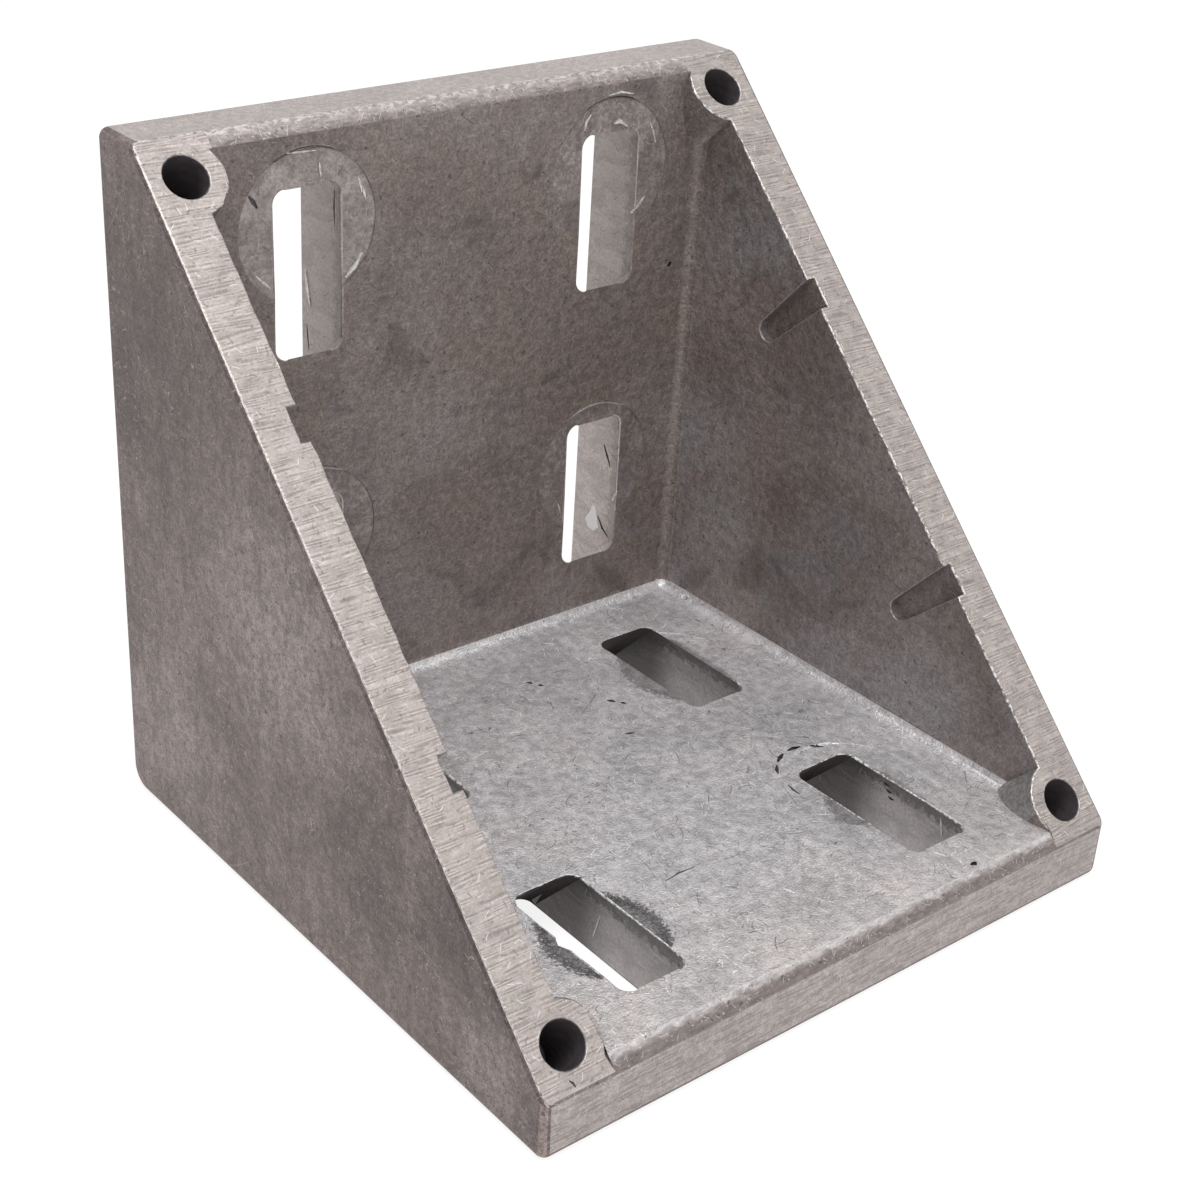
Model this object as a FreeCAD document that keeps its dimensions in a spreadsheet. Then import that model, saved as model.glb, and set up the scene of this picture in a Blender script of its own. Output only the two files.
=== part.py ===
import FreeCAD, Part
import math
import os

import Sketcher

# A die-cast aluminium corner bracket for joining slotted framing profiles at a right angle.
# One piece: a base leg, a back leg of the same length and two triangular side walls between them.
# The space between the walls is open on the slope, whose rim is milled flat for a cover.
#
# Frame: +Z up, +X to the right, the open slope faces -Y and up.  The base leg stands on z = 0, the
# back leg's mounting face looks to +Y, and the origin is the middle of the footprint.
# "Heel" is the edge where the two mounting faces meet; lengths along a leg start there.

SIZES = {
    # The whole casting
    "bracket_width": 88.0,
    "leg_length": 85.5,
    "end_height": 7.5,
    "leg_thickness": 9.0,
    "side_wall": 6.15,
    "wall_draft": 0.9,
    # Rounded edges
    "heel_radius": 3.2,
    "edge_radius": 1.2,
    "rim_radius": 0.6,
    "inner_radius": 1.6,
    # Bolt slots, four in each leg
    "column_pitch": 45.0,
    "slot_width": 9.0,
    "slot_length": 20.5,
    "slot_corner": 1.6,
    "first_slot": 27.8,
    "last_slot_from_end": 18.0,
    # Spot faces ground round the slots by hand, so that no two lie alike: how far each one lies
    # from its slot's middle, away from the heel
    "spot_radius": 9.3,
    "spot_depth": 0.4,
    "spot_upper_left": 5.5,
    "spot_upper_right": 5.4,
    "spot_lower_left": 5.2,
    "spot_lower_right": 3.6,
    "spot_front_left": -1.0,
    "spot_front_right": -5.0,
    "spot_rear_left": 0.8,
    "spot_rear_right": 0.2,
    # Blind holes for the cover's pins, in bosses at the corners of the slope
    "pin_hole_diameter": 5.3,
    "pin_hole_depth": 9.0,
    "pin_hole_rim": 0.35,
    "pin_inset": 4.95,
    "boss_radius": 4.85,
    "boss_foot": 0.6,
    # Catch grooves for the cover in the side walls
    "groove_from_middle": 20.2,
    "groove_mouth": 4.4,
    "groove_end": 3.0,
    "groove_depth": 1.25,
    "groove_length": 12.0,
    # How far a cutter runs on past the face it leaves by
    "cutter_overrun": 2.0,
}

# Lengths that follow from the driving sizes, as the sketches' constraints give them
SLOPE_LENGTH = "(sizes.leg_length - sizes.end_height) * sqrt(2)"
SLOPE_MIDDLE_BACK = "sizes.end_height / 2"
SLOPE_MIDDLE_UP = "(sizes.leg_length + sizes.end_height) / 2"
CAVITY_DEPTH = "((sizes.leg_length + sizes.end_height - 2 * sizes.leg_thickness) / sqrt(2))"
MOUTH_HALF_WIDTH = "(sizes.bracket_width / 2 - sizes.side_wall)"
SLOT_PITCH = "(sizes.leg_length - sizes.last_slot_from_end - sizes.first_slot)"
SLOPE_OVER_INNER_FACE = "(sizes.end_height - sizes.leg_thickness) * sqrt(2)"
BOSS_DEPTH = f"{SLOPE_OVER_INNER_FACE} + sizes.pin_inset + sizes.boss_radius + sizes.boss_foot"


def make_sizes(doc):
    """The driving dimensions, in millimetres and degrees."""
    sheet = doc.addObject("Spreadsheet::Sheet", "sizes")
    for row, (alias, size) in enumerate(SIZES.items(), start=1):
        sheet.set(f"A{row}", alias.replace("_", " "))
        sheet.set(f"B{row}", str(size))
        sheet.setAlias(f"B{row}", alias)
    doc.recompute()
    return sheet


def number(owner, expression):
    """The value that an expression on the sheet has now."""
    found = owner.evalExpression(expression)
    return float(getattr(found, "Value", found))


def new_sketch(body, name, plane_role, shift=None, turn=None):
    """A sketch on one of the body's origin planes, shifted by expressions and turned in degrees."""
    sketch = body.newObject("Sketcher::SketchObject", name)
    plane = next(item for item in body.Origin.OriginFeatures if item.Role == plane_role)
    sketch.AttachmentSupport = [(plane, "")]
    sketch.MapMode = "FlatFace"
    if turn:
        axis, angle = turn
        sketch.AttachmentOffset = FreeCAD.Placement(FreeCAD.Vector(), FreeCAD.Rotation(axis, angle))
    for axis_name, expression in (shift or {}).items():
        sketch.setExpression(f".AttachmentOffset.Base.{axis_name}", expression)
    body.Document.recompute()
    return sketch


def bind(sketch, name, expression, *constraint):
    """A sketch dimension tied to the sheet."""
    index = sketch.addConstraint(Sketcher.Constraint(*constraint, number(sketch, expression)))
    sketch.renameConstraint(index, name)
    sketch.setExpression(f"Constraints.{name}", expression)


def add_polygon(sketch, corners):
    """A closed outline of straight lines whose corners are joined."""
    points = [FreeCAD.Vector(x, y, 0) for x, y in corners]
    for here, following in zip(points, points[1:] + points[:1]):
        sketch.addGeometry(Part.LineSegment(here, following), False)
    for index in range(len(points)):
        sketch.addConstraint(Sketcher.Constraint("Coincident", index, 2, (index + 1) % len(points), 1))


def place(sketch, name, geometry, point, across, along):
    """Ties a point to the sketch's origin, each distance with the sign its expression has now."""
    for kind, expression in (("DistanceX", across), ("DistanceY", along)):
        if number(sketch, expression) < 0:
            bind(sketch, f"{name}_{kind}", f"-({expression})", kind, geometry, point, -1, 1)
        else:
            bind(sketch, f"{name}_{kind}", expression, kind, -1, 1, geometry, point)


def add_circle(sketch, name, across, along, radius):
    centre = FreeCAD.Vector(number(sketch, across), number(sketch, along), 0)
    circle = Part.Circle(centre, FreeCAD.Vector(0, 0, 1), number(sketch, radius))
    index = sketch.addGeometry(circle, False)
    place(sketch, name, index, 3, across, along)
    bind(sketch, f"{name}_radius", radius, "Radius", index)


def tip(body, feature, must_shrink=None):
    """Makes the feature the body's result, and sees that it took away or added what it should."""
    before = 0.0 if body.Shape.isNull() else body.Shape.Volume
    body.Tip = feature
    body.Document.recompute()
    change = body.Shape.Volume - before
    if must_shrink is not None and (change >= 0) == must_shrink:
        raise ValueError(f"{feature.Label} changed the volume by {change:.1f} mm3")
    return feature


def edges_where(shape, test):
    return [f"Edge{index}" for index, edge in enumerate(shape.Edges, start=1) if test(edge)]


def ends_of(edge):
    """The edge's two end points, or the same point twice on a closed edge."""
    return edge.Vertexes[0].Point, edge.Vertexes[-1].Point


def round_edges(body, name, radius, test):
    """A fillet on the edges that pass the test."""
    base = body.Tip
    fillet = body.newObject("PartDesign::Fillet", name)
    fillet.Base = (base, edges_where(base.Shape, test))
    fillet.setExpression("Radius", radius)
    return tip(body, fillet)


TOUCHING = 0.01


def near(first, second):
    return abs(first - second) < TOUCHING


def cast_outline(body):
    """The side view: two mounting faces, the flat leg ends and the slope between them."""
    sketch = new_sketch(body, "outline_sketch", "YZ_Plane")
    half = number(sketch, "sizes.leg_length / 2")
    height = number(sketch, "sizes.leg_length")
    end = number(sketch, "sizes.end_height")
    add_polygon(sketch, [(half, 0), (-half, 0), (-half, end), (half - end, height), (half, height)])
    base, front, top, back = 0, 1, 3, 4
    for line in (base, top):
        sketch.addConstraint(Sketcher.Constraint("Horizontal", line))
    for line in (front, back):
        sketch.addConstraint(Sketcher.Constraint("Vertical", line))
    sketch.addConstraint(Sketcher.Constraint("Symmetric", base, 1, base, 2, -1, 1))
    bind(sketch, "base_length", "sizes.leg_length", "DistanceX", base, 2, base, 1)
    bind(sketch, "back_height", "sizes.leg_length", "DistanceY", back, 2, back, 1)
    bind(sketch, "front_end", "sizes.end_height", "DistanceY", front, 1, front, 2)
    bind(sketch, "top_end", "sizes.end_height", "DistanceX", top, 1, top, 2)
    pad = body.newObject("PartDesign::Pad", "outline")
    pad.Profile = sketch
    pad.SideType = "Symmetric"
    pad.setExpression("Length", "sizes.bracket_width")
    return tip(body, pad)


def open_cavity(body):
    """The space between the legs and the walls, open on the slope.

    It narrows to a line at the heel, and the walls thicken on the way there by their draft,
    so that the casting leaves its die.
    """
    wedge = body.newObject("PartDesign::SubtractiveWedge", "cavity")
    plane = next(item for item in body.Origin.OriginFeatures if item.Role == "XY_Plane")
    wedge.AttachmentSupport = [(plane, "")]
    wedge.MapMode = "FlatFace"
    wedge.AttachmentOffset = FreeCAD.Placement(
        FreeCAD.Vector(), FreeCAD.Rotation(FreeCAD.Vector(1, 0, 0), -45)
    )
    half_mouth = f"({MOUTH_HALF_WIDTH} + sizes.cutter_overrun * tan(sizes.wall_draft))"
    half_heel = f"({MOUTH_HALF_WIDTH} - {CAVITY_DEPTH} * tan(sizes.wall_draft))"
    half_slope = f"({CAVITY_DEPTH} + sizes.cutter_overrun)"
    bounds = {
        ".AttachmentOffset.Base.y": f"-({SLOPE_MIDDLE_BACK})",
        ".AttachmentOffset.Base.z": SLOPE_MIDDLE_UP,
        "Xmin": f"-{half_mouth}",
        "Xmax": half_mouth,
        "X2min": f"-{half_heel}",
        "X2max": half_heel,
        "Ymin": "-sizes.cutter_overrun",
        "Ymax": CAVITY_DEPTH,
        "Zmin": f"-{half_slope}",
        "Zmax": half_slope,
        "Z2min": "0",
        "Z2max": "0",
    }
    for name, expression in bounds.items():
        wedge.setExpression(name, expression)
    return tip(body, wedge, must_shrink=True)


def round_cavity(body):
    """Cast fillets along the cavity's inner corners."""
    inner_back = number(body, "sizes.leg_length / 2 - sizes.leg_thickness")
    inner_base = number(body, "sizes.leg_thickness")

    def is_inner_corner(edge):
        first, last = ends_of(edge)
        on_back = near(first.y, inner_back) and near(last.y, inner_back)
        on_base = near(first.z, inner_base) and near(last.z, inner_base)
        along_rim = near(first.x, -last.x) and not (on_back and on_base)
        return (on_back or on_base) and not along_rim

    return round_edges(body, "cavity_fillet", "sizes.inner_radius", is_inner_corner)


def slope_sketch(body, name):
    """A sketch on the milled slope, its origin at the middle and its second axis up the slope."""
    return new_sketch(
        body,
        name,
        "XY_Plane",
        {"y": f"-({SLOPE_MIDDLE_BACK})", "z": SLOPE_MIDDLE_UP},
        (FreeCAD.Vector(1, 0, 0), 45),
    )


def add_pin_circles(sketch, radius):
    """One circle at each corner of the slope."""
    across = "(sizes.bracket_width / 2 - sizes.pin_inset)"
    along = f"({SLOPE_LENGTH} / 2 - sizes.pin_inset)"
    for side, side_sign in (("left", "-"), ("right", "")):
        for end, end_sign in (("lower", "-"), ("upper", "")):
            add_circle(sketch, f"{end}_{side}", side_sign + across, end_sign + along, radius)


def add_corner_bosses(body):
    """Round bosses that run from the slope down into the legs and walls."""
    sketch = slope_sketch(body, "boss_sketch")
    add_pin_circles(sketch, "sizes.boss_radius")
    pad = body.newObject("PartDesign::Pad", "corner_bosses")
    pad.Profile = sketch
    pad.Reversed = True
    pad.setExpression("Length", BOSS_DEPTH)
    return tip(body, pad, must_shrink=False)


def round_outside(body):
    """The tumbled edges of the casting: large along the heel, and small where the slope was milled."""
    half_width = number(body, "sizes.bracket_width / 2")
    half_length = number(body, "sizes.leg_length / 2")
    height = number(body, "sizes.leg_length")
    slope_level = number(body, f"{SLOPE_MIDDLE_UP} + {SLOPE_MIDDLE_BACK}")

    def is_heel(edge):
        return all(near(end.y, half_length) and near(end.z, 0) for end in ends_of(edge))

    def is_rim(edge):
        on_slope = all(near(end.z - end.y, slope_level) for end in ends_of(edge))
        return on_slope and all(near(abs(end.x), half_width) for end in ends_of(edge))

    def is_outline(edge):
        first, last = ends_of(edge)
        on_side = near(abs(first.x), half_width) and near(first.x, last.x) and not is_rim(edge)
        on_top_back = near(first.y, half_length) and near(first.z, height)
        on_front_foot = near(first.y, -half_length) and near(first.z, 0)
        return on_side or (near(first.x, -last.x) and (on_top_back or on_front_foot))

    round_edges(body, "heel_rounding", "sizes.heel_radius", is_heel)
    round_edges(body, "edge_rounding", "sizes.edge_radius", is_outline)
    return round_edges(body, "rim_rounding", "sizes.rim_radius", is_rim)


def leg_sketch(body, name, leg):
    """A sketch on a leg's inner face, whose second axis is the distance from the heel."""
    if leg == "back":
        inner_face = {"z": "-(sizes.leg_length / 2 - sizes.leg_thickness)"}
        return new_sketch(body, name, "XZ_Plane", inner_face)
    inner_face = {"y": "sizes.leg_length / 2", "z": "sizes.leg_thickness"}
    return new_sketch(body, name, "XY_Plane", inner_face, (FreeCAD.Vector(0, 0, 1), 180))


def add_rounded_slot(sketch):
    """The slot nearest to the heel in one column: a rectangle with rounded corners."""
    left = number(sketch, "-(sizes.column_pitch + sizes.slot_width) / 2")
    right = number(sketch, "-(sizes.column_pitch - sizes.slot_width) / 2")
    near_end = number(sketch, "sizes.first_slot - sizes.slot_length / 2")
    far_end = number(sketch, "sizes.first_slot + sizes.slot_length / 2")
    radius = number(sketch, "sizes.slot_corner")
    centres = [
        (right - radius, near_end + radius),
        (right - radius, far_end - radius),
        (left + radius, far_end - radius),
        (left + radius, near_end + radius),
    ]
    sides = [
        ((left + radius, near_end), (right - radius, near_end)),
        ((right, near_end + radius), (right, far_end - radius)),
        ((right - radius, far_end), (left + radius, far_end)),
        ((left, far_end - radius), (left, near_end + radius)),
    ]
    for quarter, (centre, side) in enumerate(zip(centres, sides)):
        start, end = (FreeCAD.Vector(x, y, 0) for x, y in side)
        sketch.addGeometry(Part.LineSegment(start, end), False)
        circle = Part.Circle(FreeCAD.Vector(*centre, 0), FreeCAD.Vector(0, 0, 1), radius)
        turn = (quarter - 1) * math.pi / 2
        sketch.addGeometry(Part.ArcOfCircle(circle, turn, turn + math.pi / 2), False)
    lines = (0, 2, 4, 6)
    arcs = (1, 3, 5, 7)
    for index, (line, arc) in enumerate(zip(lines, arcs)):
        sketch.addConstraint(Sketcher.Constraint("Tangent", line, 2, arc, 1))
        following = lines[(index + 1) % len(lines)]
        sketch.addConstraint(Sketcher.Constraint("Tangent", arc, 2, following, 1))
        sketch.addConstraint(Sketcher.Constraint("Vertical" if index % 2 else "Horizontal", line))
    for arc in arcs[1:]:
        sketch.addConstraint(Sketcher.Constraint("Equal", arcs[0], arc))
    bind(sketch, "corner", "sizes.slot_corner", "Radius", arcs[0])
    bind(sketch, "width", "sizes.slot_width", "DistanceX", lines[3], 1, lines[1], 1)
    bind(sketch, "length", "sizes.slot_length", "DistanceY", lines[0], 1, lines[2], 1)
    bind(sketch, "column", "(sizes.column_pitch + sizes.slot_width) / 2", "DistanceX", lines[3], 1, -1, 1)
    bind(sketch, "from_heel", "sizes.first_slot - sizes.slot_length / 2", "DistanceY", -1, 1, lines[0], 1)


def cut_slots(body, leg):
    """Four bolt slots through a leg.

    The die's outer half makes them and leaves along the slope's normal, so each slot's wall
    on the heel side leans out to the mounting face at 45 degrees and the others are square.
    """
    sketch = leg_sketch(body, f"{leg}_slot_sketch", leg)
    add_rounded_slot(sketch)
    straight = body.newObject("PartDesign::Pocket", f"{leg}_slot")
    straight.Profile = sketch
    straight.setExpression("Length", "sizes.leg_thickness + sizes.cutter_overrun")
    tip(body, straight, must_shrink=True)
    leaning = body.newObject("PartDesign::Pocket", f"{leg}_slot_relief")
    leaning.Profile = sketch
    leaning.UseCustomVector = True
    leaning.Direction = FreeCAD.Vector(0, 1, -1)
    leaning.AlongSketchNormal = True
    leaning.setExpression("Length", "sizes.leg_thickness + sizes.cutter_overrun")
    tip(body, leaning, must_shrink=True)
    pattern = body.newObject("PartDesign::LinearPattern", f"{leg}_slots")
    pattern.Originals = [straight, leaning]
    pattern.Direction = (sketch, ["H_Axis"])
    pattern.Occurrences = 2
    pattern.setExpression("Length", "sizes.column_pitch")
    pattern.Direction2 = (sketch, ["V_Axis"])
    pattern.Occurrences2 = 2
    pattern.setExpression("Length2", SLOT_PITCH)
    return tip(body, pattern, must_shrink=True)


def grind_spot_faces(body, leg, inner, outer):
    """Shallow round seats for the bolts' washers, the inner ones on the slots nearest to the heel."""
    sketch = leg_sketch(body, f"{leg}_spot_sketch", leg)
    rightwards = 1 if leg == "back" else -1
    for name in inner + outer:
        sign = -rightwards if name.endswith("left") else rightwards
        across = f"{sign} * sizes.column_pitch / 2"
        slot_middle = "sizes.first_slot" if name in inner else f"(sizes.first_slot + {SLOT_PITCH})"
        add_circle(sketch, name, across, f"{slot_middle} + sizes.{name}", "sizes.spot_radius")
    pocket = body.newObject("PartDesign::Pocket", f"{leg}_spot_faces")
    pocket.Profile = sketch
    pocket.setExpression("Length", "sizes.spot_depth")
    return tip(body, pocket, must_shrink=True)


def bore_pin_holes(body):
    """Blind holes for the cover's pins, down the bosses' axes, with a small bevel at the mouth."""
    sketch = slope_sketch(body, "pin_sketch")
    add_pin_circles(sketch, "sizes.pin_hole_diameter / 2")
    hole = body.newObject("PartDesign::Hole", "pin_holes")
    hole.Profile = sketch
    hole.HoleCutType = "Countersink"
    hole.HoleCutCustomValues = True
    hole.setExpression("Diameter", "sizes.pin_hole_diameter")
    hole.setExpression("Depth", "sizes.pin_hole_depth")
    hole.setExpression("HoleCutDiameter", "sizes.pin_hole_diameter + 2 * sizes.pin_hole_rim")
    return tip(body, hole, must_shrink=True)


def cut_catch_grooves(body):
    """Two grooves down each side wall from the slope, narrower at their round inner ends."""
    sketch = new_sketch(
        body,
        "groove_sketch",
        "YZ_Plane",
        {"x": f"-({SLOPE_MIDDLE_BACK})", "y": SLOPE_MIDDLE_UP},
        (FreeCAD.Vector(0, 0, 1), 45),
    )
    for name, sign in (("lower", -1), ("upper", 1)):
        add_groove(sketch, name, sign)
    pocket = body.newObject("PartDesign::Pocket", "catch_grooves")
    pocket.Profile = sketch
    pocket.SideType = "Symmetric"
    pocket.setExpression("Length", "sizes.bracket_width - 2 * (sizes.side_wall - sizes.groove_depth)")
    return tip(body, pocket, must_shrink=True)


def add_groove(sketch, name, sign):
    """A tapered outline that straddles the slope, with a round inner end."""
    middle = f"({sign} * sizes.groove_from_middle)"
    end_centre = "-(sizes.groove_length - sizes.groove_end / 2)"
    x = number(sketch, middle)
    half_mouth = number(sketch, "sizes.groove_mouth / 2")
    half_end = number(sketch, "sizes.groove_end / 2")
    outside = number(sketch, "sizes.cutter_overrun")
    inside = number(sketch, end_centre)
    mouth_corners = (FreeCAD.Vector(x - half_mouth, outside, 0), FreeCAD.Vector(x + half_mouth, outside, 0))
    end_corners = (FreeCAD.Vector(x - half_end, inside, 0), FreeCAD.Vector(x + half_end, inside, 0))
    end_circle = Part.Circle(FreeCAD.Vector(x, inside, 0), FreeCAD.Vector(0, 0, 1), half_end)
    mouth = sketch.addGeometry(Part.LineSegment(*mouth_corners), False)
    right = sketch.addGeometry(Part.LineSegment(mouth_corners[1], end_corners[1]), False)
    end = sketch.addGeometry(Part.ArcOfCircle(end_circle, math.pi, 2 * math.pi), False)
    left = sketch.addGeometry(Part.LineSegment(end_corners[0], mouth_corners[0]), False)
    sketch.addConstraint(Sketcher.Constraint("Coincident", mouth, 2, right, 1))
    sketch.addConstraint(Sketcher.Constraint("Coincident", left, 2, mouth, 1))
    sketch.addConstraint(Sketcher.Constraint("Tangent", right, 2, end, 2))
    sketch.addConstraint(Sketcher.Constraint("Tangent", end, 1, left, 1))
    bind(sketch, f"{name}_end", "sizes.groove_end / 2", "Radius", end)
    place(sketch, f"{name}_end_centre", end, 3, middle, end_centre)
    place(sketch, f"{name}_left", mouth, 1, f"{middle} - sizes.groove_mouth / 2", "sizes.cutter_overrun")
    place(sketch, f"{name}_right", mouth, 2, f"{middle} + sizes.groove_mouth / 2", "sizes.cutter_overrun")


def make_bracket_casting(doc):
    body = doc.addObject("PartDesign::Body", "bracket_casting")
    body.Label = "bracket_casting"
    cast_outline(body)
    open_cavity(body)
    round_cavity(body)
    add_corner_bosses(body)
    round_outside(body)
    cut_slots(body, "back")
    cut_slots(body, "base")
    grind_spot_faces(
        body, "back", ["spot_lower_left", "spot_lower_right"], ["spot_upper_left", "spot_upper_right"]
    )
    grind_spot_faces(
        body, "base", ["spot_rear_left", "spot_rear_right"], ["spot_front_left", "spot_front_right"]
    )
    bore_pin_holes(body)
    cut_catch_grooves(body)
    body.Placement = FreeCAD.Placement()
    return body


def check(doc, parts):
    """Stops before anything is written if an object or a shape has failed."""
    for item in doc.Objects:
        if "Invalid" in item.State or "Error" in item.State:
            raise ValueError(f"{item.Label} failed: {item.State}")
    for part in parts:
        if part.Shape.isNull() or not part.Shape.isValid():
            raise ValueError(f"{part.Label} has no valid shape")


def main():
    doc = FreeCAD.newDocument("corner_bracket")
    make_sizes(doc)
    parts = [make_bracket_casting(doc)]
    doc.recompute()
    check(doc, parts)
    os.makedirs("parts", exist_ok=True)
    for part in parts:
        part.Shape.exportStep(f"parts/{part.Label}.step")
        box = part.Shape.BoundBox
        print(part.Label, f"{part.Shape.Volume:.0f} mm3", f"{len(part.Shape.Solids)} solid", box)


main()
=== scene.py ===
import math
from functools import reduce

import bmesh
import bpy
from mathutils import Matrix, Vector, noise


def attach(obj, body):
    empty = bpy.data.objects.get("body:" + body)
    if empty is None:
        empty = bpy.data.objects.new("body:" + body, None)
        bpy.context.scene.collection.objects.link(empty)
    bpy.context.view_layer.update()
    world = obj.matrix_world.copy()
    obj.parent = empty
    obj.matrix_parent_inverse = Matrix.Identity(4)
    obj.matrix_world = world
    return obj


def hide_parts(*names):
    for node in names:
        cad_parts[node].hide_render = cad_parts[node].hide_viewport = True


bl_info = {
    "name": "Slotted Corner Bracket",
    "version": (1, 0, 0),
    "blender": (4, 5, 0),
    "location": "3D View > Sidebar > Bracket",
    "description": "Wears a die-cast corner bracket's edges and gives it its cast and ground finishes",
    "category": "Object",
}

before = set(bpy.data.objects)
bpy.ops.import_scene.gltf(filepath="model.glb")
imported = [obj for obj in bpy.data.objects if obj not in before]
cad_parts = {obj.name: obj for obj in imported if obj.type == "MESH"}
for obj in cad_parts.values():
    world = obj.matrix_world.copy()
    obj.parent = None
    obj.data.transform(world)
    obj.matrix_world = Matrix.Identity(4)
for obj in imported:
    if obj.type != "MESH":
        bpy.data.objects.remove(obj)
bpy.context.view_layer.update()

MM = 0.001
CASTING = "bracket_casting"
PIECE = "bracket_die_casting"

# The casting's planes, slots and pin holes, as its solid has them
SLOPE_LEVEL = 50.25 * MM
SLOPE_MIDDLE = (-3.75 * MM, 46.5 * MM)
BACK_FACE = 42.75 * MM
FRONT_FACE = -42.75 * MM
TOP_FACE = 85.5 * MM
SIDE_FACE = 44.0 * MM
INNER_BACK = 33.75 * MM
INNER_BASE = 9.0 * MM
COLUMN = 22.5 * MM
HALF_SLOT = 4.5 * MM
BACK_SLOTS = (27.8 * MM, 67.5 * MM)
BASE_SLOTS = (14.95 * MM, -24.75 * MM)
SLOTS_WITHIN = 36.0 * MM
SEAT_DEPTH = 0.4 * MM
SEATS_BELOW = 83.25 * MM
PIN_ACROSS = 39.05 * MM
PIN_ALONG = 50.2 * MM
PIN_RADIUS = 2.65 * MM
PIN_CHAMFER = 0.35 * MM
BOSS_RADIUS = 4.85 * MM
BOSS_FOOT = 0.6 * MM

# What wear has left of the seats and of the pin holes' chamfers
BACK_SEAT = INNER_BACK + 0.35 * SEAT_DEPTH
BASE_SEAT = INNER_BASE - 0.2 * SEAT_DEPTH
WORN_CHAMFER = 0.22 * MM

# How far the rim's parts reach: along the slope, but the beads also across it
TORN_TO = 52.6 * MM
BEADS_FROM = 52.0 * MM
BEADS_WITHIN = 34.7 * MM
GROOVES_WITHIN = 40.0 * MM

FLAT = 0.02 * MM
TINY = 0.008 * MM
SMALL_FACE = 4.0 * MM * MM
SLOT_CORNER = 3.0 * MM * MM

# The maps that carry places on the surface, in millimetres: one lies flat on each
# face, and the other starts at the middle of the nearest slot
FLAT_MAP = "flat"
SEAT_MAP = "seat"


def slope_along(point):
    """How far up the slope a point lies from the slope's middle."""
    return (point.y + point.z - BACK_FACE) / math.sqrt(2)


def from_pin(point):
    """How far a point lies from the nearest pin hole's middle, along the slope."""
    return math.hypot(abs(point.x) - PIN_ACROSS, abs(slope_along(point)) - PIN_ALONG)


def by_grooves(point):
    """Whether a point lies inside a side wall, where the catch grooves are."""
    clear_of_legs = point.z > INNER_BASE + 3 * MM and point.y < INNER_BACK - 3 * MM
    in_wall = 30 * MM < abs(point.x) < SIDE_FACE - 2 * MM
    return clear_of_legs and in_wall and abs(slope_along(point)) < GROOVES_WITHIN


def on_slope(point):
    return abs(point.z - point.y - SLOPE_LEVEL) < FLAT


def near(first, second):
    return abs(first - second) < FLAT


# The single marks: the plane, the points on it in millimetres, the width in all or at each
# point, how far it reaches into and out of the plane, and its finish if that isn't the usual
SUNK_MARKS = (
    ("back_seat", ((-29.5, 68.3), (-28.4, 67.2), (-27.4, 66.3)), 0.35, 0.08, "bright_marks"),
    ("back", ((-30.2, 77.8), (-29.6, 77.0), (-29.1, 76.2)), 0.6, 0.25),
    ("back", ((33.5, 58.0), (33.8, 58.3), (34.2, 58.5)), 0.7, 0.3),
    ("back_seat", ((16.8, 27.2), (17.1, 26.4), (17.3, 25.6)), 0.3, 0.08, "bright_marks"),
    ("base", ((9.5, 12.8), (9.9, 12.4), (10.2, 11.9)), 0.6, 0.15),
    ("base", ((10.6, 11.4), (10.9, 11.1), (11.1, 10.8)), 0.5, 0.15),
    ("base", ((3.5, 22.3), (3.8, 22.0), (4.0, 21.7)), 0.5, 0.2),
    ("base", ((4.4, 21.0), (4.6, 20.8), (4.8, 20.4)), 0.5, 0.2),
    ("base", ((6.3, 5.1), (6.8, 4.9), (7.4, 4.6)), 0.4, 0.12),
    ("base", ((-10.3, -22.0), (-8.0, -21.7), (-5.6, -21.8)), 0.22, 0.08),
    ("base", ((16.2, -12.9), (16.7, -12.1), (17.4, -11.4)), 0.5, 0.15),
    ("base", ((18.0, -10.9), (19.0, -10.3), (19.9, -9.9)), 0.65, 0.2),
    ("base", ((20.9, -9.7), (22.0, -9.7), (22.9, -9.9)), 0.7, 0.2),
    ("base", ((23.6, -10.2), (24.6, -10.8), (25.5, -11.6)), 0.55, 0.15),
    ("base", ((15.6, -15.3), (15.3, -16.6), (15.3, -17.8)), 0.35, 0.1),
    ("base", ((21.6, -40.3), (22.1, -40.4), (22.6, -40.2)), 0.8, 0.35),
    ("base_seat", ((-27.0, -22.9), (-27.2, -24.2), (-27.0, -25.5)), 1.1, 1.2, "bright_marks"),
    ("left_column", ((-35.2, 76.4), (-35.3, 74.0), (-35.2, 71.8)), 0.28, 0.12),
    ("left_column", ((-41.5, 57.6), (-41.3, 56.0), (-41.1, 54.3)), 0.3, 0.1),
    ("right_column", ((-36.9, 32.4), (-36.1, 31.0), (-35.3, 29.5)), 0.45, 0.12),
    ("right_column", ((-37.3, 21.2), (-36.2, 19.7), (-34.9, 18.8)), 0.45, 0.12),
    ("right_column", ((21.0, 8.1), (21.4, 8.0), (21.9, 8.0)), 0.4, 0.1),
    ("right_column", ((21.5, 7.3), (22.0, 7.2), (22.5, 7.3)), 0.4, 0.1),
    ("right_column", ((22.0, 6.5), (22.5, 6.4), (23.0, 6.5)), 0.4, 0.1),
    ("slope", ((-40.1, -53.7), (-39.8, -54.1), (-39.7, -54.6)), 0.3, 0.05),
)
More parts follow.
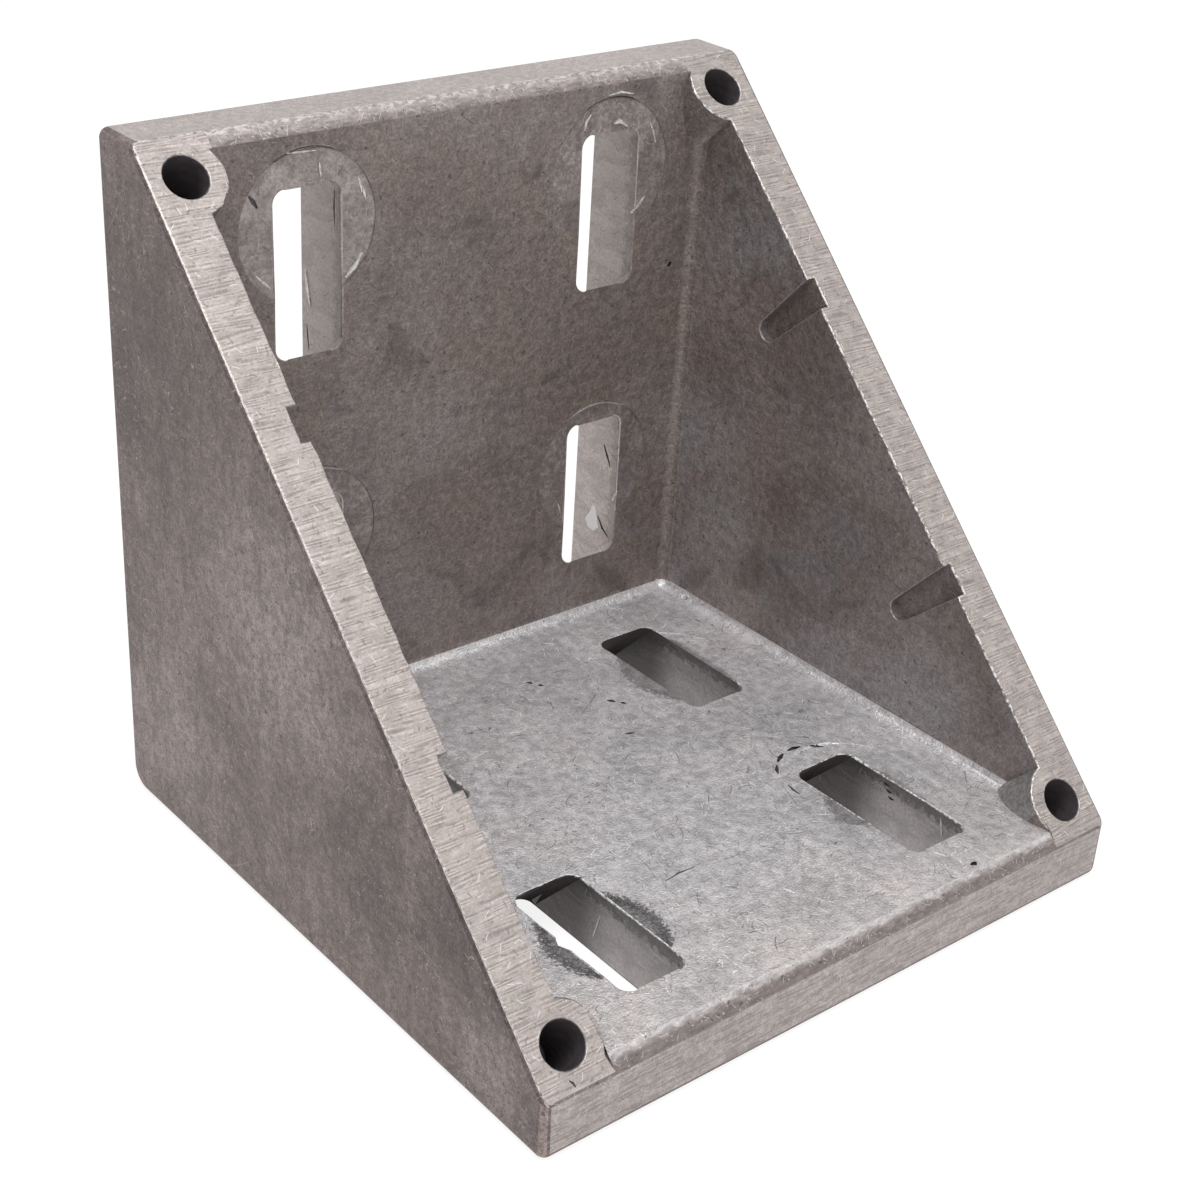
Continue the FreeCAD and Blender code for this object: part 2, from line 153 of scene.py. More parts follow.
RAISED_MARKS = (
    ("back_seat", ((-20.9, 80.3), (-20.8, 79.4), (-20.7, 78.6)), 0.3, 0.1),
    ("back_seat", ((-15.6, 77.7), (-15.3, 76.8), (-15.1, 75.9)), 0.3, 0.1),
    ("back_seat", ((-15.0, 76.6), (-14.8, 75.8), (-14.6, 75.0)), 0.3, 0.1),
    ("back_seat", ((-17.5, 65.9), (-16.2, 67.0), (-15.1, 68.6)), 0.5, 0.2),
    ("back_seat", ((-25.2, 82.0), (-23.4, 81.9), (-21.3, 81.8)), 0.25, 0.1),
    ("back_seat", ((18.0, 78.6), (18.2, 79.6), (18.9, 80.5)), 0.3, 0.12),
    ("back", ((21.6, 82.6), (23.6, 82.8), (25.6, 82.3)), 0.25, 0.1),
    ("back_seat", ((28.6, 78.4), (29.4, 77.0), (29.9, 75.4)), 0.25, 0.12),
    ("back_seat", ((22.6, 78.9), (23.6, 79.1), (24.8, 78.3)), 0.5, 0.3),
    ("back_seat", ((26.6, 66.5), (27.7, 67.4), (28.7, 68.5)), 0.35, 0.15),
    ("back_seat", ((26.6, 25.0), (27.0, 25.7), (27.4, 26.3)), 0.35, 0.1),
    ("base", ((-11.0, -36.6), (-10.8, -37.2), (-10.6, -37.7)), 0.45, 0.1),
    ("base", ((-9.4, -37.4), (-8.6, -37.7), (-7.8, -38.0)), 0.4, 0.1),
    ("base", ((-2.0, -22.8), (-1.7, -23.1), (-1.3, -23.3)), 0.45, 0.1),
    ("base", ((-1.6, -24.4), (-1.2, -24.7), (-0.8, -24.8)), 0.4, 0.1),
    ("base", ((0.5, -25.1), (0.9, -25.3), (1.4, -25.3)), 0.4, 0.1),
    ("base", ((-17.7, -40.3), (-17.1, -40.5), (-16.6, -40.6)), 0.4, 0.1),
    ("left_column", ((-41.6, 64.6), (-41.2, 62.4), (-40.6, 60.2)), 0.6, 0.12),
    ("left_column", ((19.8, 6.1), (19.3, 4.2), (18.8, 2.4)), 0.18, 0.05),
    ("left_column", ((15.4, 5.2), (17.0, 6.8), (18.6, 8.6)), 0.2, 0.05),
    # A raised nick on the right column's slot wall, coloured pure white: a painted highlight
    (
        "right_column", ((-38.3, 22.4), (-38.3, 21.0), (-38.5, 19.6), (-38.7, 18.6)),
        (0.4, 1.5, 2.8, 1.4), 0.08, "painted_highlight_spot",
    ),
    ("right_column", ((30.7, 8.2), (31.0, 7.0), (31.3, 5.8)), 0.3, 0.1),
)


class CastingSettings(bpy.types.PropertyGroup):
    """Sizes and colours of the casting that a user would change."""

    bead_width: bpy.props.FloatProperty(
        name="Bead width", default=1.3 * MM, min=0.0, unit="LENGTH",
        description="How far the rim's cast cross edges are rounded over",
    )
    rim_break: bpy.props.FloatProperty(
        name="Rim edge break", default=0.2 * MM, min=0.0, unit="LENGTH",
        description="Width of the torn edge that the milling left along the cavity",
    )
    groove_break: bpy.props.FloatProperty(
        name="Groove edge break", default=0.13 * MM, min=0.0, unit="LENGTH",
        description="Width of the bevel along the catch grooves",
    )
    edge_break: bpy.props.FloatProperty(
        name="Edge break", default=0.28 * MM, min=0.0, unit="LENGTH",
        description="Width of the bevel on the slots' mouths",
    )
    burr: bpy.props.FloatProperty(
        name="Burr", default=0.2 * MM, min=0.0, unit="LENGTH",
        description="How far the torn rim edge wanders",
    )
    skin_light: bpy.props.FloatVectorProperty(
        name="Light cast skin", default=(0.27, 0.238, 0.229), subtype="COLOR", min=0.0, max=1.0,
        description="The cast skin where it was rubbed bright",
    )
    skin_brown: bpy.props.FloatVectorProperty(
        name="Brown cast skin", default=(0.19, 0.156, 0.146), subtype="COLOR", min=0.0, max=1.0,
        description="The cast skin where it kept its brownish film",
    )
    skin_dark: bpy.props.FloatVectorProperty(
        name="Dark stain", default=(0.045, 0.04, 0.042), subtype="COLOR", min=0.0, max=1.0,
        description="Grinding dust and dirt in the pores",
    )
    cut_metal: bpy.props.FloatVectorProperty(
        name="Cut metal", default=(0.50, 0.445, 0.42), subtype="COLOR", min=0.0, max=1.0,
        description="Freshly cut or scratched metal",
    )
    base_grey: bpy.props.FloatVectorProperty(
        name="Base grey", default=(0.6, 0.585, 0.6), subtype="COLOR", min=0.0, max=1.0,
        description="The cool grey of the base's rubbed inner face",
    )


class StageSettings(bpy.types.PropertyGroup):
    """The camera and the light."""

    lens: bpy.props.FloatProperty(
        name="Lens", default=63.53, min=1.0,
        description="Focal length of the camera in millimetres",
    )
    top_light: bpy.props.FloatProperty(
        name="Top light", default=2.2, min=0.0,
        description="Power of the large lamp above the part in watts",
    )
    front_light: bpy.props.FloatProperty(
        name="Front light", default=0.6, min=0.0,
        description="Power of the weaker lamp before the part in watts",
    )
    room_light: bpy.props.FloatProperty(
        name="Room light", default=0.5, min=0.0,
        description="Strength of the light that comes from all round",
    )


# Nodes


def grey(level):
    return (level, level, level)


def mixed(first, second, share):
    """A colour between two others."""
    return tuple(a + (b - a) * share for a, b in zip(first, second))


def feed(tree, socket, value):
    """Links a socket, or sets a plain value or colour."""
    if isinstance(value, bpy.types.NodeSocket):
        tree.links.new(value, socket)
    else:
        socket.default_value = (*value, 1) if socket.type == "RGBA" else value


def add_node(tree, kind, inputs, **options):
    """A node with its options set, and its inputs by name or number."""
    node = tree.nodes.new("ShaderNode" + kind)
    for option, value in options.items():
        setattr(node, option, value)
    for name, value in inputs.items():
        feed(tree, node.inputs[name], value)
    return node


class Graph:
    """Writes the nodes of one material, each call giving back the socket that carries its result."""

    def __init__(self, name):
        self.material = bpy.data.materials.new(name)
        self.material.use_nodes = True
        self.tree = self.material.node_tree
        self.shader = self.tree.nodes["Principled BSDF"]
        self.flat = self.map(FLAT_MAP)

    def set(self, socket, value):
        feed(self.tree, socket, value)

    def node(self, kind, inputs, **options):
        return add_node(self.tree, kind, inputs, **options)

    def map(self, name):
        return self.node("UVMap", {}, uv_map=name).outputs["UV"]

    def vector(self, operation, first, second=(0, 0, 0)):
        node = self.node("VectorMath", {0: first, 1: second}, operation=operation)
        return node.outputs["Value" if operation == "LENGTH" else "Vector"]

    def math(self, operation, first, second=0, clamp=False):
        return self.node("Math", {0: first, 1: second}, operation=operation, use_clamp=clamp).outputs[0]

    def times(self, *values):
        return reduce(lambda product, value: self.math("MULTIPLY", product, value), values)

    def most(self, *values):
        return reduce(lambda largest, value: self.math("MAXIMUM", largest, value), values)

    def sum(self, first, share, second, other_share):
        """Two values added by their shares."""
        return self.math("ADD", self.times(first, share), self.times(second, other_share))

    def parts(self, at):
        """The two coordinates of a place on the surface."""
        node = self.node("SeparateXYZ", {0: at})
        return node.outputs["X"], node.outputs["Y"]

    def moved(self, at, seed):
        return self.vector("ADD", at, (7.3 * seed, -4.1 * seed, 0))

    def drawn(self, across, up=1):
        """The flat map squeezed one way, so that noise on it is drawn out that way."""
        return self.vector("MULTIPLY", self.flat, (across, up, 0))

    def noise(self, size, detail=2, rough=0.55, warp=0, seed=0, at=None):
        """Cloudy noise whose patches are about one size across, in millimetres."""
        at = at or self.flat
        inputs = {"Vector": self.moved(at, seed) if seed else at, "Scale": 1 / size}
        inputs.update({"Detail": detail, "Roughness": rough, "Distortion": warp})
        return self.node("TexNoise", inputs, noise_dimensions="2D").outputs["Fac"]

    def step(self, value, low, high, to_low=0, to_high=1):
        """A soft step between two levels; high may be below low."""
        inputs = {"Value": value, "From Min": low, "From Max": high, "To Min": to_low, "To Max": to_high}
        return self.node("MapRange", inputs, interpolation_type="SMOOTHSTEP").outputs["Result"]

    def blend(self, share, first, second, kind="MIX"):
        node = self.node("Mix", {}, data_type="RGBA", blend_type=kind)
        self.set(node.inputs["Factor"], share)
        for socket, colour in zip([item for item in node.inputs if item.type == "RGBA"], (first, second)):
            self.set(socket, colour)
        return next(socket for socket in node.outputs if socket.type == "RGBA")

    def lit(self, colour, level):
        """A colour times a level that changes over the surface; the finishes paint light and shade with it.
        """
        grey_level = self.node("CombineXYZ", {0: level, 1: level, 2: level}).outputs[0]
        return self.blend(1, colour, grey_level, "MULTIPLY")

    def shaded(self, colour, *layers):
        """A colour made darker and lighter by noises, each with its darkest and lightest level."""
        for value, darkest, lightest in layers:
            level = self.blend(self.step(value, 0.32, 0.68), grey(darkest), grey(lightest))
            colour = self.blend(1, colour, level, "MULTIPLY")
        return colour

    def clouded(self, colour, tone, cloud, low, high, share=1):
        """A colour with another tone wherever a noise is high."""
        return self.blend(self.step(cloud, low, high, 0, share), colour, tone)

    def marked(self, colour, *layers):
        """A colour with layers of marks, each with its tone and its share."""
        for tone, share, *marks in layers:
            colour = self.blend(self.times(self.most(*marks), share), colour, tone)
        return colour

    def nicks(self, cell, length, width, share, bend, seed):
        """Short scratches, one in some of the surface's cells, each with its own direction and curl."""
        place = self.moved(self.flat, seed)
        cells = self.node("TexVoronoi", {"Vector": place, "Scale": 1 / cell}, voronoi_dimensions="2D")
        dice = self.node("SeparateColor", {0: cells.outputs["Color"]}).outputs
        from_middle = self.vector("SUBTRACT", place, cells.outputs["Position"])
        inputs = {"Vector": from_middle, "Angle": self.times(dice[0], 2 * math.pi)}
        turned = self.node("VectorRotate", inputs, rotation_type="Z_AXIS")
        along, across = self.parts(turned.outputs["Vector"])
        curl = self.math("SUBTRACT", dice[2], 0.5)
        bowed = self.math("SUBTRACT", across, self.times(along, along, curl, bend))
        thin = self.step(self.math("ABSOLUTE", bowed), 0.5 * width, 0.15 * width)
        short = self.step(self.math("ABSOLUTE", along), 0.5 * length, 0.3 * length)
        return self.times(thin, short, self.math("LESS_THAN", dice[1], share))

    def cutter_lines(self, pitch, jitter):
        """Fine lines from side to side, a little uneven in pitch."""
        _, along = self.parts(self.flat)
        shift = self.noise(1.3, 1, 0.6, at=self.drawn(0.07))
        place = self.math("ADD", along, self.times(shift, jitter))
        wave = self.math("SINE", self.times(place, 2 * math.pi / pitch))
        return self.math("ADD", self.times(wave, 0.5), 0.5)

    def wrinkles(self, size, width, seed):
        """Thin lines that curl as the contours of noise do."""
        value = self.noise(size, 1, 0.5, 0.6, seed)
        return self.step(self.math("ABSOLUTE", self.math("SUBTRACT", value, 0.5)), width, 0.25 * width)

    def specks(self, size, share, seed):
        """Small spots wherever the noise is high."""
        return self.step(self.noise(size, 1, seed=seed), 0.82 - share, 0.88 - share)

    def patched(self, colour, tone, patches):
        """A colour with ragged patches of another tone, each by its middle, its reach and its share."""
        ragged = self.math("SUBTRACT", self.noise(5, 4, 0.62, 0.5, 21), 0.5)
        for side, height, reach, share in patches:
            away = self.vector("LENGTH", self.vector("SUBTRACT", self.flat, (side, height, 0)))
            away = self.math("ADD", away, self.times(ragged, 1.3 * reach))
            colour = self.blend(self.step(away, reach, 0.25 * reach, 0, share), colour, tone)
        return colour

    def finish(self, colour, metallic, rough, height, depth):
        """Sets the shader: its roughness by a noise between two levels, and its relief."""
        self.set(self.shader.inputs["Base Color"], colour)
        self.set(self.shader.inputs["Metallic"], metallic)
        value, smoothest, roughest = rough
        self.set(self.shader.inputs["Roughness"], self.step(value, 0.3, 0.7, smoothest, roughest))
        bump = self.node("Bump", {"Strength": 1, "Distance": depth * MM, "Height": height})
        self.set(self.shader.inputs["Normal"], bump.outputs["Normal"])
        return self.material


# Finishes

OUTER_FILM = (0.96, 0.905, 0.9)
BROWN_PATCH = (0.155, 0.122, 0.108)
PALE_PATCH = (0.3, 0.28, 0.282)
BACK_CLOUDS = (0.212, 0.17, 0.145)
SIDE_CLOUDS = (0.195, 0.185, 0.192)
RIM_GLINTS = (0.82, 0.79, 0.77)
SANDING_GLINTS = (0.8, 0.78, 0.76)
# The painted highlight along the top bead's crest
BEAD_RIDGE_HIGHLIGHT = (0.75, 0.72, 0.7)
BEAD_GLINTS = (0.85, 0.84, 0.83)
# Painted shade: the dark tones inside the blind pin holes
BORE_DARK = (0.085, 0.072, 0.08)
BORE_LIGHT = (0.115, 0.1, 0.108)

# Broad patches in the flat map that handling has darkened, rubbing has lightened or the
# die's film has browned: the middle across and up, the reach and the share
OUTER_GRIPPED = ((-29, 21.5, 15, 1), (37, 58, 26, 0.75), (-10, 18, 14, 0.75))
OUTER_RUBBED = ((7, 38, 20, 0.75), (32, 14, 15, 0.6), (-33, 7, 7, 0.6))
BACK_BROWNED = ((-5, 66, 15, 0.4), (21, 45, 10, 0.4))
BACK_RUBBED = ((-14, 45, 12, 0.25),)
SIDE_RUBBED = ((-15, 13, 13, 0.85), (0, 12, 10, 0.6), (24, 23, 9, 0.75))
SIDE_BROWNED = (
    (11, 54, 14, 0.7), (11.5, 31, 5.5, 0.8), (15.8, 18.5, 5, 0.8), (26, 44, 10, 0.5),
)
BASE_DULLED = (
    (23, -2.5, 9, 0.5), (15, -31, 8, 0.7), (29, 28, 8, 0.7), (-10, 25, 16, 0.35),
)


def start(name):
    """The graph of a new material, and the casting's colours."""
    return Graph(name), bpy.context.scene.bracket_casting


def cavity_skin(name, clouds, browned, rubbed, heel_light=0):
    """The cavity's walls: brownish film with darker clouds, patches of another tone and sparse marks; with a
    heel light, painted light makes them lighter towards the heel.
    """
    g, c = start(name)
    mottle, grain = g.noise(1.3, 3, 0.62), g.noise(0.34, 1)
    lighter = mixed(c.skin_brown, c.skin_light, 0.6)
    stained = mixed(c.skin_dark, c.skin_brown, 0.35)
    skin = g.clouded(c.skin_brown, lighter, g.noise(20, 3, 0.55, 0.6), 0.36, 0.66)
    skin = g.clouded(skin, clouds, g.noise(15, 2, 0.6, 0.5, 7), 0.42, 0.66, 0.6)
    skin = g.clouded(skin, stained, g.noise(8, 3, 0.6, 0.5, 2), 0.54, 0.76, 0.6)
    # Painted light: lighter towards the back and low down, near the heel
    if heel_light:
        deep, height = g.parts(g.flat)
        near_heel = g.times(g.step(deep, 2, 31), g.step(height, 76, 52))
        skin = g.lit(skin, g.math("ADD", 1, g.times(near_heel, heel_light)))
    skin = g.patched(skin, BROWN_PATCH, browned)
    skin = g.patched(skin, PALE_PATCH, rubbed)
    fine = g.noise(0.6, 3, 0.65, 0, 15)
    skin = g.shaded(skin, (mottle, 0.86, 1.14), (fine, 0.9, 1.1), (grain, 0.86, 1.14))
    skin = g.marked(
        skin,
        (c.skin_dark, 0.6, g.nicks(4.6, 2.6, 0.16, 0.3, 1.2, 1)),
        (c.skin_dark, 0.6, g.specks(0.9, 0.09, 5)),
        (c.cut_metal, 0.42, g.nicks(4.2, 1.4, 0.14, 0.35, 2, 3), g.nicks(2.1, 0.9, 0.12, 0.3, 2, 9)),
    )
    return g.finish(skin, 0.35, (mottle, 0.5, 0.62), g.sum(mottle, 0.8, grain, 0.2), 0.18)


def outer_skin(name, tone=1):
    """The outer walls: tumbled skin with many short curled scratches; a tone below one makes a darker copy
    for painted shade, and one above it a lighter copy for a painted highlight.
    """
    g, c = start(name)

    def filmed(first, second, share):
        """A colour between two others, seen through the outer walls' film."""
        return tuple(part * (tone * left) for part, left in zip(mixed(first, second, share), OUTER_FILM))

    streaky = g.drawn(1, 0.45)
    mottle, grain = g.noise(1.3, 3, 0.65), g.noise(0.3, 1)
    dull, lighter = filmed(c.skin_brown, c.skin_dark, 0.2), filmed(c.skin_brown, c.skin_light, 0.24)
    skin = g.clouded(dull, lighter, g.noise(12, 3, 0.6, 0.6, at=streaky), 0.32, 0.68)
    skin = g.patched(skin, filmed(c.skin_brown, c.skin_dark, 0.5), OUTER_GRIPPED)
    skin = g.patched(skin, filmed(c.skin_light, c.cut_metal, 0.1), OUTER_RUBBED)
    streaks = g.noise(4.5, 4, 0.65, 1, 11, at=streaky)
    skin = g.shaded(skin, (streaks, 0.86, 1.15), (mottle, 0.76, 1.24), (grain, 0.82, 1.18))
    dark = g.nicks(1.6, 0.9, 0.14, 0.5, 2.5, 1), g.nicks(2.9, 2.2, 0.15, 0.4, 1.2, 8)
    skin = g.marked(skin, (c.skin_dark, 0.6, *dark, g.specks(0.8, 0.13, 5)))
    crowd = g.step(g.noise(9, 2, 0.6, 0, 4), 0.38, 0.6, 0.35, 1)
    bright = g.most(
        g.nicks(1.1, 0.6, 0.13, 0.4, 4, 3),
        g.nicks(2.4, 1.2, 0.13, 0.35, 1.6, 14),
        g.times(g.wrinkles(1.1, 0.016, 2), g.specks(1, 0.28, 7)),
        g.times(g.nicks(12, 9, 0.15, 0.25, 0.05, 12), 0.7),
    )
    skin = g.blend(g.times(bright, crowd, 0.55), skin, c.cut_metal)
    return g.finish(skin, 0.4, (mottle, 0.46, 0.58), g.sum(mottle, 0.75, grain, 0.25), 0.2)


def base_skin(name, darkened_lens=False):
    """The base's inner face: rubbed to a cool, pale satin and covered with fine curled hairlines."""
    g, c = start(name)
    _, along = g.parts(g.flat)
    cloud, mottle, grain = g.noise(14, 3, 0.55, 0.4), g.noise(1.4, 3, 0.65), g.noise(0.28, 2, 0.6)
    warm = g.math("ADD", g.step(cloud, 0.5, 0.72, 0, 0.35), g.step(along, -18, -42, 0, 0.45), True)
    skin = g.blend(warm, c.base_grey, mixed(c.base_grey, c.cut_metal, 0.8))
    skin = g.patched(skin, tuple(0.8 * part for part in c.base_grey), BASE_DULLED)
    skin = g.shaded(skin, (cloud, 0.9, 1.1), (g.noise(4.6, 3, 0.6, 0.5, 9), 0.94, 1.06))
    skin = g.shaded(skin, (mottle, 0.91, 1.1), (grain, 0.88, 1.12))
    crowd = g.step(g.noise(6, 2, 0.6, 0, 4), 0.38, 0.62, 0.2, 1)
    dark = g.most(
        g.nicks(1.5, 1, 0.13, 0.5, 2.6, 6),
        g.times(g.wrinkles(1.5, 0.014, 2), g.specks(1.3, 0.3, 7)),
        g.nicks(3.6, 3.2, 0.17, 0.4, 0.8, 1),
        g.times(g.nicks(8, 7.5, 0.18, 0.3, 0.1, 11), 0.8),
    )
    skin = g.blend(g.times(dark, crowd, 0.68), skin, c.skin_dark)
    # Near-white flecks on the bright scratches: painted highlights on real scratches
    flecked = g.step(g.noise(7, 2, 0.6, 0, 13), 0.42, 0.6, 0.25, 1)
    bright = g.nicks(1.4, 0.8, 0.14, 0.55, 2, 3), g.nicks(2.2, 1.3, 0.15, 0.5, 1, 15)
    skin = g.marked(skin, (grey(0.95), flecked, *bright, g.nicks(5, 1.6, 0.28, 0.4, 0.5, 9)))
    if darkened_lens:
        skin = g.blend(dark_seat_lens(g), skin, mixed(c.skin_dark, c.base_grey, 0.035))
    return g.finish(skin, 0.5, (mottle, 0.36, 0.5), g.sum(mottle, 0.6, grain, 0.4), 0.2)


def dark_seat_lens(g):
    """A ragged dark lens in the grain on both sides of a slot, stronger on the left column."""
    place = g.map(SEAT_MAP)
    across, _ = g.parts(place)
    column, up_base = g.parts(g.flat)
    right_column = g.step(column, -5, 5)
    rear_left = g.times(g.step(column, 5, -5), g.step(up_base, 0, 8))
    ragged = g.noise(0.5, 3, 0.75, 0, 6)
    from_middle = g.vector("LENGTH", g.vector("ADD", place, (0, 1, 0)))
    reach = g.math("ADD", from_middle, g.times(g.math("SUBTRACT", ragged, 0.5), 5))
    reach = g.math("ADD", reach, g.step(g.math("ABSOLUTE", across), 3, 7, 0, 1.4))
    lens = g.times(g.step(reach, 9.3, 8.1), g.step(from_middle, 5.4, 7.6, 0.7, 1))
    clean_side = g.times(right_column, g.step(across, 4.6, 5.8))
    for clean, share in ((clean_side, 0.9), (rear_left, 0.75)):
        lens = g.times(lens, g.math("SUBTRACT", 1, g.times(clean, share)))
    grains = g.step(ragged, 0.42, 0.56, 0.84, 1.15)
    return g.times(lens, grains, g.step(column, -5, 5, 1, 0.66))


def milled_rim(name):
    """The rim along the walls and round the pin holes: cutter lines across it, with dirt and nicks, and
    painted shade on its right side.
    """
    g, c = start(name)
    worn = g.noise(0.8, 2, 0.65, at=g.drawn(0.35))
    blotch, grain = g.noise(2.4, 3, 0.6), g.noise(0.3, 1)
    lined = g.times(g.cutter_lines(0.46, 1.5), g.step(worn, 0.35, 0.6))
    metal = g.shaded(c.cut_metal, (worn, 0.88, 1.14))
    metal = g.blend(lined, metal, mixed(c.cut_metal, c.skin_brown, 0.62))
    metal = g.shaded(metal, (blotch, 0.88, 1.1), (grain, 0.93, 1.07))
    # Painted shade: the rim is darker on the right of the middle
    column, _ = g.parts(g.flat)
    metal = g.lit(metal, g.step(column, -20, 20, 1, 0.92))
    metal = g.marked(
        metal,
        (c.skin_brown, 0.6, g.nicks(2.2, 1, 0.26, 0.3, 1.5, 1), g.specks(0.7, 0.11, 5)),
        (RIM_GLINTS, 0.7, g.nicks(1.9, 1.1, 0.14, 0.3, 0.8, 9)),
    )
    height = g.math("SUBTRACT", g.times(blotch, 0.5), g.times(lined, 0.5))
    return g.finish(metal, 0.45, (blotch, 0.5, 0.4), height, 0.08)


def sanded_face(name, tone, lines):
    """The flat ends and mounting faces: sanded, with fine lines from side to side."""
    g, c = start(name)
    worn = g.noise(1.1, 2, 0.65, 0, 5, at=g.drawn(0.3))
    mottle, grain = g.noise(0.9, 3, 0.65), g.noise(0.28, 1)
    metal = g.clouded(mixed(tone, c.skin_light, 0.3), tone, g.noise(9, 3, 0.6, 0.3), 0.34, 0.7)
    metal = g.shaded(metal, (mottle, 0.84, 1.14), (grain, 0.88, 1.12))
    lined = g.times(g.cutter_lines(0.62, 1.6), g.step(worn, 0.36, 0.6))
    metal = g.marked(
        metal,
        (c.skin_brown, lines, lined),
        (c.skin_brown, 0.45, g.nicks(1.7, 1.2, 0.12, 0.55, 1.2, 1)),
        (SANDING_GLINTS, 0.42, g.nicks(1.2, 0.8, 0.1, 0.6, 1.4, 3), g.nicks(2.3, 1.9, 0.1, 0.5, 0.6, 6)),
    )
    height = g.math("SUBTRACT", g.times(mottle, 0.6), g.times(lined, lines))
    return g.finish(metal, 0.45, (mottle, 0.42, 0.54), height, 0.14)


def cast_bead(name):
    """The rim's rounded cross pieces: cast, brown below, with painted light on the upper side, a painted
    highlight along the top piece's crest and painted light on the front piece's base side.
    """
    g, c = start(name)
    _, along = g.parts(g.flat)
    drawn = g.drawn(0.4)
    grain, mottle = g.noise(0.4, 2, 0.65, at=drawn), g.noise(0.9, 3, 0.65, at=drawn)
    # Painted light on the rounding: the upper side lighter, a painted highlight along the top piece's crest,
    # the front piece lighter on its base side
    place = g.math("ADD", along, g.times(g.math("SUBTRACT", mottle, 0.5), 0.9))
    painted_ridge_highlight = g.times(g.step(place, 54.4, 55), g.step(grain, 0.4, 0.6))
    at_front = g.times(g.step(place, -54.4, -53), g.math("LESS_THAN", along, 0))
    lower, upper = mixed(c.skin_brown, c.skin_light, 0.3), mixed(c.cut_metal, c.skin_light, 0.5)
    metal = g.clouded(lower, upper, place, 52.9, 54.6)
    metal = g.marked(metal, (BEAD_RIDGE_HIGHLIGHT, 0.35, painted_ridge_highlight))
    metal = g.blend(at_front, metal, mixed(c.base_grey, c.cut_metal, 0.5))
    metal = g.shaded(metal, (grain, 0.86, 1.14), (mottle, 0.88, 1.12))
    scratches = g.nicks(1.2, 0.8, 0.12, 0.5, 1, 8), g.nicks(2.2, 1.8, 0.12, 0.4, 0.5, 5)
    metal = g.marked(
        metal,
        (c.skin_brown, 0.5, g.nicks(2.4, 1.4, 0.16, 0.35, 1.4, 1)),
        (c.skin_dark, 0.6, g.specks(0.7, 0.1, 4)),
        (BEAD_GLINTS, 0.38, g.specks(0.42, 0.12, 3), *scratches),
    )
    return g.finish(metal, 0.5, (grain, 0.36, 0.5), g.sum(mottle, 0.6, grain, 0.4), 0.1)


def slot_wall(name, heel_tone, tone, on_back):
    """The slots' walls: smooth grey metal, dirty under the mouth, with another tone towards the heel, and
    painted light and shade that change with the slot.
    """
    g, c = start(name)
    _, along = g.parts(g.map(SEAT_MAP))
    deep, height = g.parts(g.flat)
    # Painted light and shade: on the back leg the lower slots' walls are lighter; in the base the front
    # slots' walls are lighter and the rear ones darker
    if on_back:
        from_outside = g.math("SUBTRACT", BACK_FACE / MM, deep)
        dirt, lit = 0.3, g.step(height, 48, 42, 1, 1.35)
    else:
        from_outside = height
        dirt, lit = 0.62, g.step(deep, -5, 5, 1.06, 0.86)
    ragged = g.times(g.math("SUBTRACT", g.noise(0.9, 3, 0.7, 0, 12), 0.5), 3.6)
    mouth = g.step(g.math("ADD", from_outside, ragged), 6.9, 8)
    mouth = g.times(mouth, g.math("LESS_THAN", from_outside, 10))
    streak = g.noise(2.4, 3, 0.6, 0.5, at=g.drawn(0.5))
    metal = g.lit(g.blend(g.step(along, 9.5, 2), heel_tone, tone), lit)
    metal = g.shaded(metal, (streak, 0.82, 1.14), (g.noise(0.4, 2, 0.6), 0.88, 1.12))
    metal = g.marked(
        metal,
        (c.skin_dark, dirt, mouth),
        (c.skin_dark, 0.5, g.nicks(2.4, 1.8, 0.15, 0.45, 1.5, 1)),
        (c.cut_metal, 0.5, g.nicks(2.2, 1.2, 0.14, 0.35, 1.5, 6)),
    )
    return g.finish(metal, 0.45, (streak, 0.4, 0.52), streak, 0.12)


def heel_end(name):
    """The leaning end walls of the base's slots: painted shade, dark and dull, as they lie in the dark."""
    g, c = start(name)
    shade_mottle = g.noise(1.2, 3, 0.65)
    # Painted shade: two dark tones stand in for the shade under the overhang
    metal = g.blend(shade_mottle, c.skin_dark, mixed(c.skin_dark, c.skin_brown, 0.4))
    g.set(g.shader.inputs["Specular IOR Level"], 0.1)
    return g.finish(metal, 0, (shade_mottle, 0.75, 0.9), shade_mottle, 0.05)


